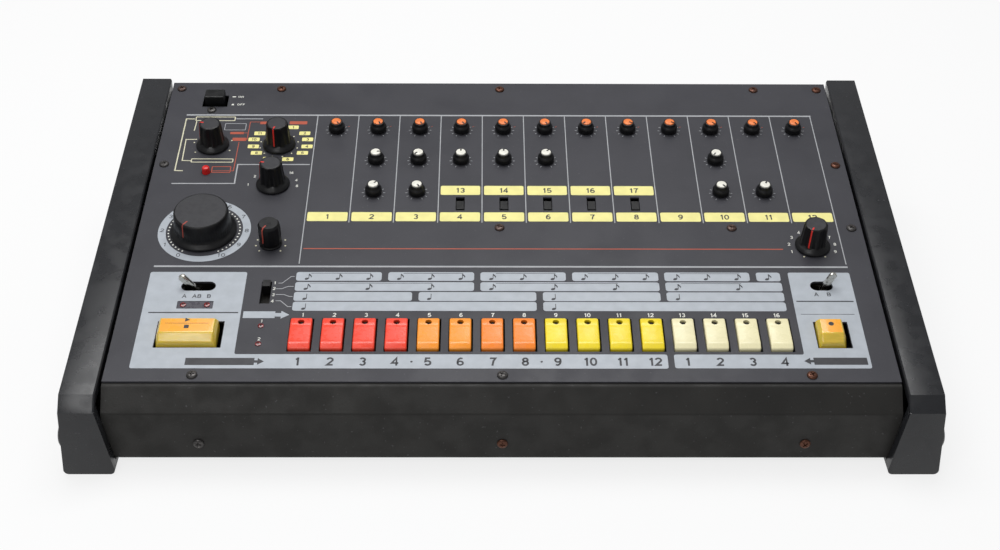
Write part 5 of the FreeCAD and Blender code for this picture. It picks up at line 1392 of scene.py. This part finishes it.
class DRUM_OT_stage(bpy.types.Operator):
    """Sets the pale floor, the soft lamps and the camera"""

    bl_idname = "drum_machine.stage"
    bl_label = "Stage"

    def execute(self, context):
        own = settings("stage")
        ground = CAD_BOX[0].z
        build = bmesh.new()
        corners = [build.verts.new((x, y, ground - 0.0002)) for x, y in ((-6, -6), (6, -6), (6, 6), (-6, 6))]
        build.faces.new(corners)
        floor = new_object("floor", to_mesh(build, "floor", Matrix.Identity(4), outward=False))
        material = bpy.data.materials.new("pale_floor")
        material.use_nodes = True
        tree = material.node_tree
        tree.nodes.clear()
        seen = add(tree, "ShaderNodeLightPath")
        rays = [seen.outputs[word] for word in ("Is Camera Ray", "Is Glossy Ray", "Is Transmission Ray")]
        first = add(tree, "ShaderNodeMath", {"operation": "MAXIMUM"}, {0: rays[0], 1: rays[1]})
        share = add(tree, "ShaderNodeMath", {"operation": "MAXIMUM"}, {0: first.outputs[0], 1: rays[2]})
        part = add(tree, "ShaderNodeMath", {"operation": "MULTIPLY"}, {0: share.outputs[0], 1: 0.8})
        matt = add(tree, "ShaderNodeBsdfDiffuse", {}, {"Color": darker(own.floor, 0.8)})
        glow = add(tree, "ShaderNodeEmission", {}, {"Color": tuple(own.floor), "Strength": 1.0})
        blend = {0: part.outputs[0], 1: matt.outputs[0], 2: glow.outputs[0]}
        mix = add(tree, "ShaderNodeMixShader", {}, blend)
        add(tree, "ShaderNodeOutputMaterial", {}, {"Surface": mix.outputs[0]})
        floor.data.materials.append(material)
        world = bpy.data.worlds.new("studio")
        bpy.context.scene.world = world
        world.use_nodes = True
        tree = world.node_tree
        tree.nodes.clear()
        seen = add(tree, "ShaderNodeLightPath")
        white = add(tree, "ShaderNodeBackground", {}, {"Color": (1, 1, 1, 1), "Strength": 1.0})
        dim = add(tree, "ShaderNodeBackground", {}, {"Color": (0.97, 0.98, 1, 1), "Strength": 0.35})
        rays = [seen.outputs[word] for word in ("Is Camera Ray", "Is Transmission Ray")]
        share = add(tree, "ShaderNodeMath", {"operation": "MAXIMUM"}, {0: rays[0], 1: rays[1]})
        blend = {0: share.outputs[0], 1: dim.outputs[0], 2: white.outputs[0]}
        mix = add(tree, "ShaderNodeMixShader", {}, blend)
        add(tree, "ShaderNodeOutputWorld", {}, {"Surface": mix.outputs[0]})
        lamp("overhead_lamp", own.overhead, (1.3, 0.8), (-0.15, 0.35, 1.4), (0, 0, 0.05))
        lamp("front_lamp", own.fill, (0.9, 0.5), (-0.45, -1.05, 1.3), (0, 0, 0.05))
        bpy.context.scene.view_settings.view_transform = "Standard"
        camera(own)
        return {"FINISHED"}


class DRUM_PT_sidebar(bpy.types.Panel):
    """Lists the steps of the drum machine and their values"""

    bl_idname = "DRUM_PT_sidebar"
    bl_label = "Drum Machine"
    bl_space_type = "VIEW_3D"
    bl_region_type = "UI"
    bl_category = "Drum Machine"

    def draw(self, context):
        for step in STEPS:
            self.layout.operator(step.bl_idname)
        for group, kind in SETTINGS.items():
            column = self.layout.column(heading=group.title())
            for word in kind.__annotations__:
                column.prop(settings(group), word)


STEPS = (
    DRUM_OT_stage, DRUM_OT_case, DRUM_OT_plates, DRUM_OT_lines, DRUM_OT_labels, DRUM_OT_figures,
    DRUM_OT_dials, DRUM_OT_small_knobs, DRUM_OT_large_knobs, DRUM_OT_step_keys, DRUM_OT_wide_keys,
    DRUM_OT_toggles, DRUM_OT_lamps, DRUM_OT_hardware,
)
CLASSES = tuple(SETTINGS.values()) + STEPS + (DRUM_PT_sidebar,)


def register():
    """Makes the classes known, and hangs the values on the scene."""
    for kind in CLASSES:
        bpy.utils.register_class(kind)
    for group, kind in SETTINGS.items():
        setattr(bpy.types.Scene, "drum_machine_" + group, bpy.props.PointerProperty(type=kind))


def unregister():
    """Takes both back."""
    for group in SETTINGS:
        delattr(bpy.types.Scene, "drum_machine_" + group)
    for kind in reversed(CLASSES):
        bpy.utils.unregister_class(kind)


def main():
    """Builds everything in order."""
    register()
    for step in STEPS:
        family, word = step.bl_idname.split(".")
        getattr(getattr(bpy.ops, family), word)()


if __name__ == "__main__":
    main()
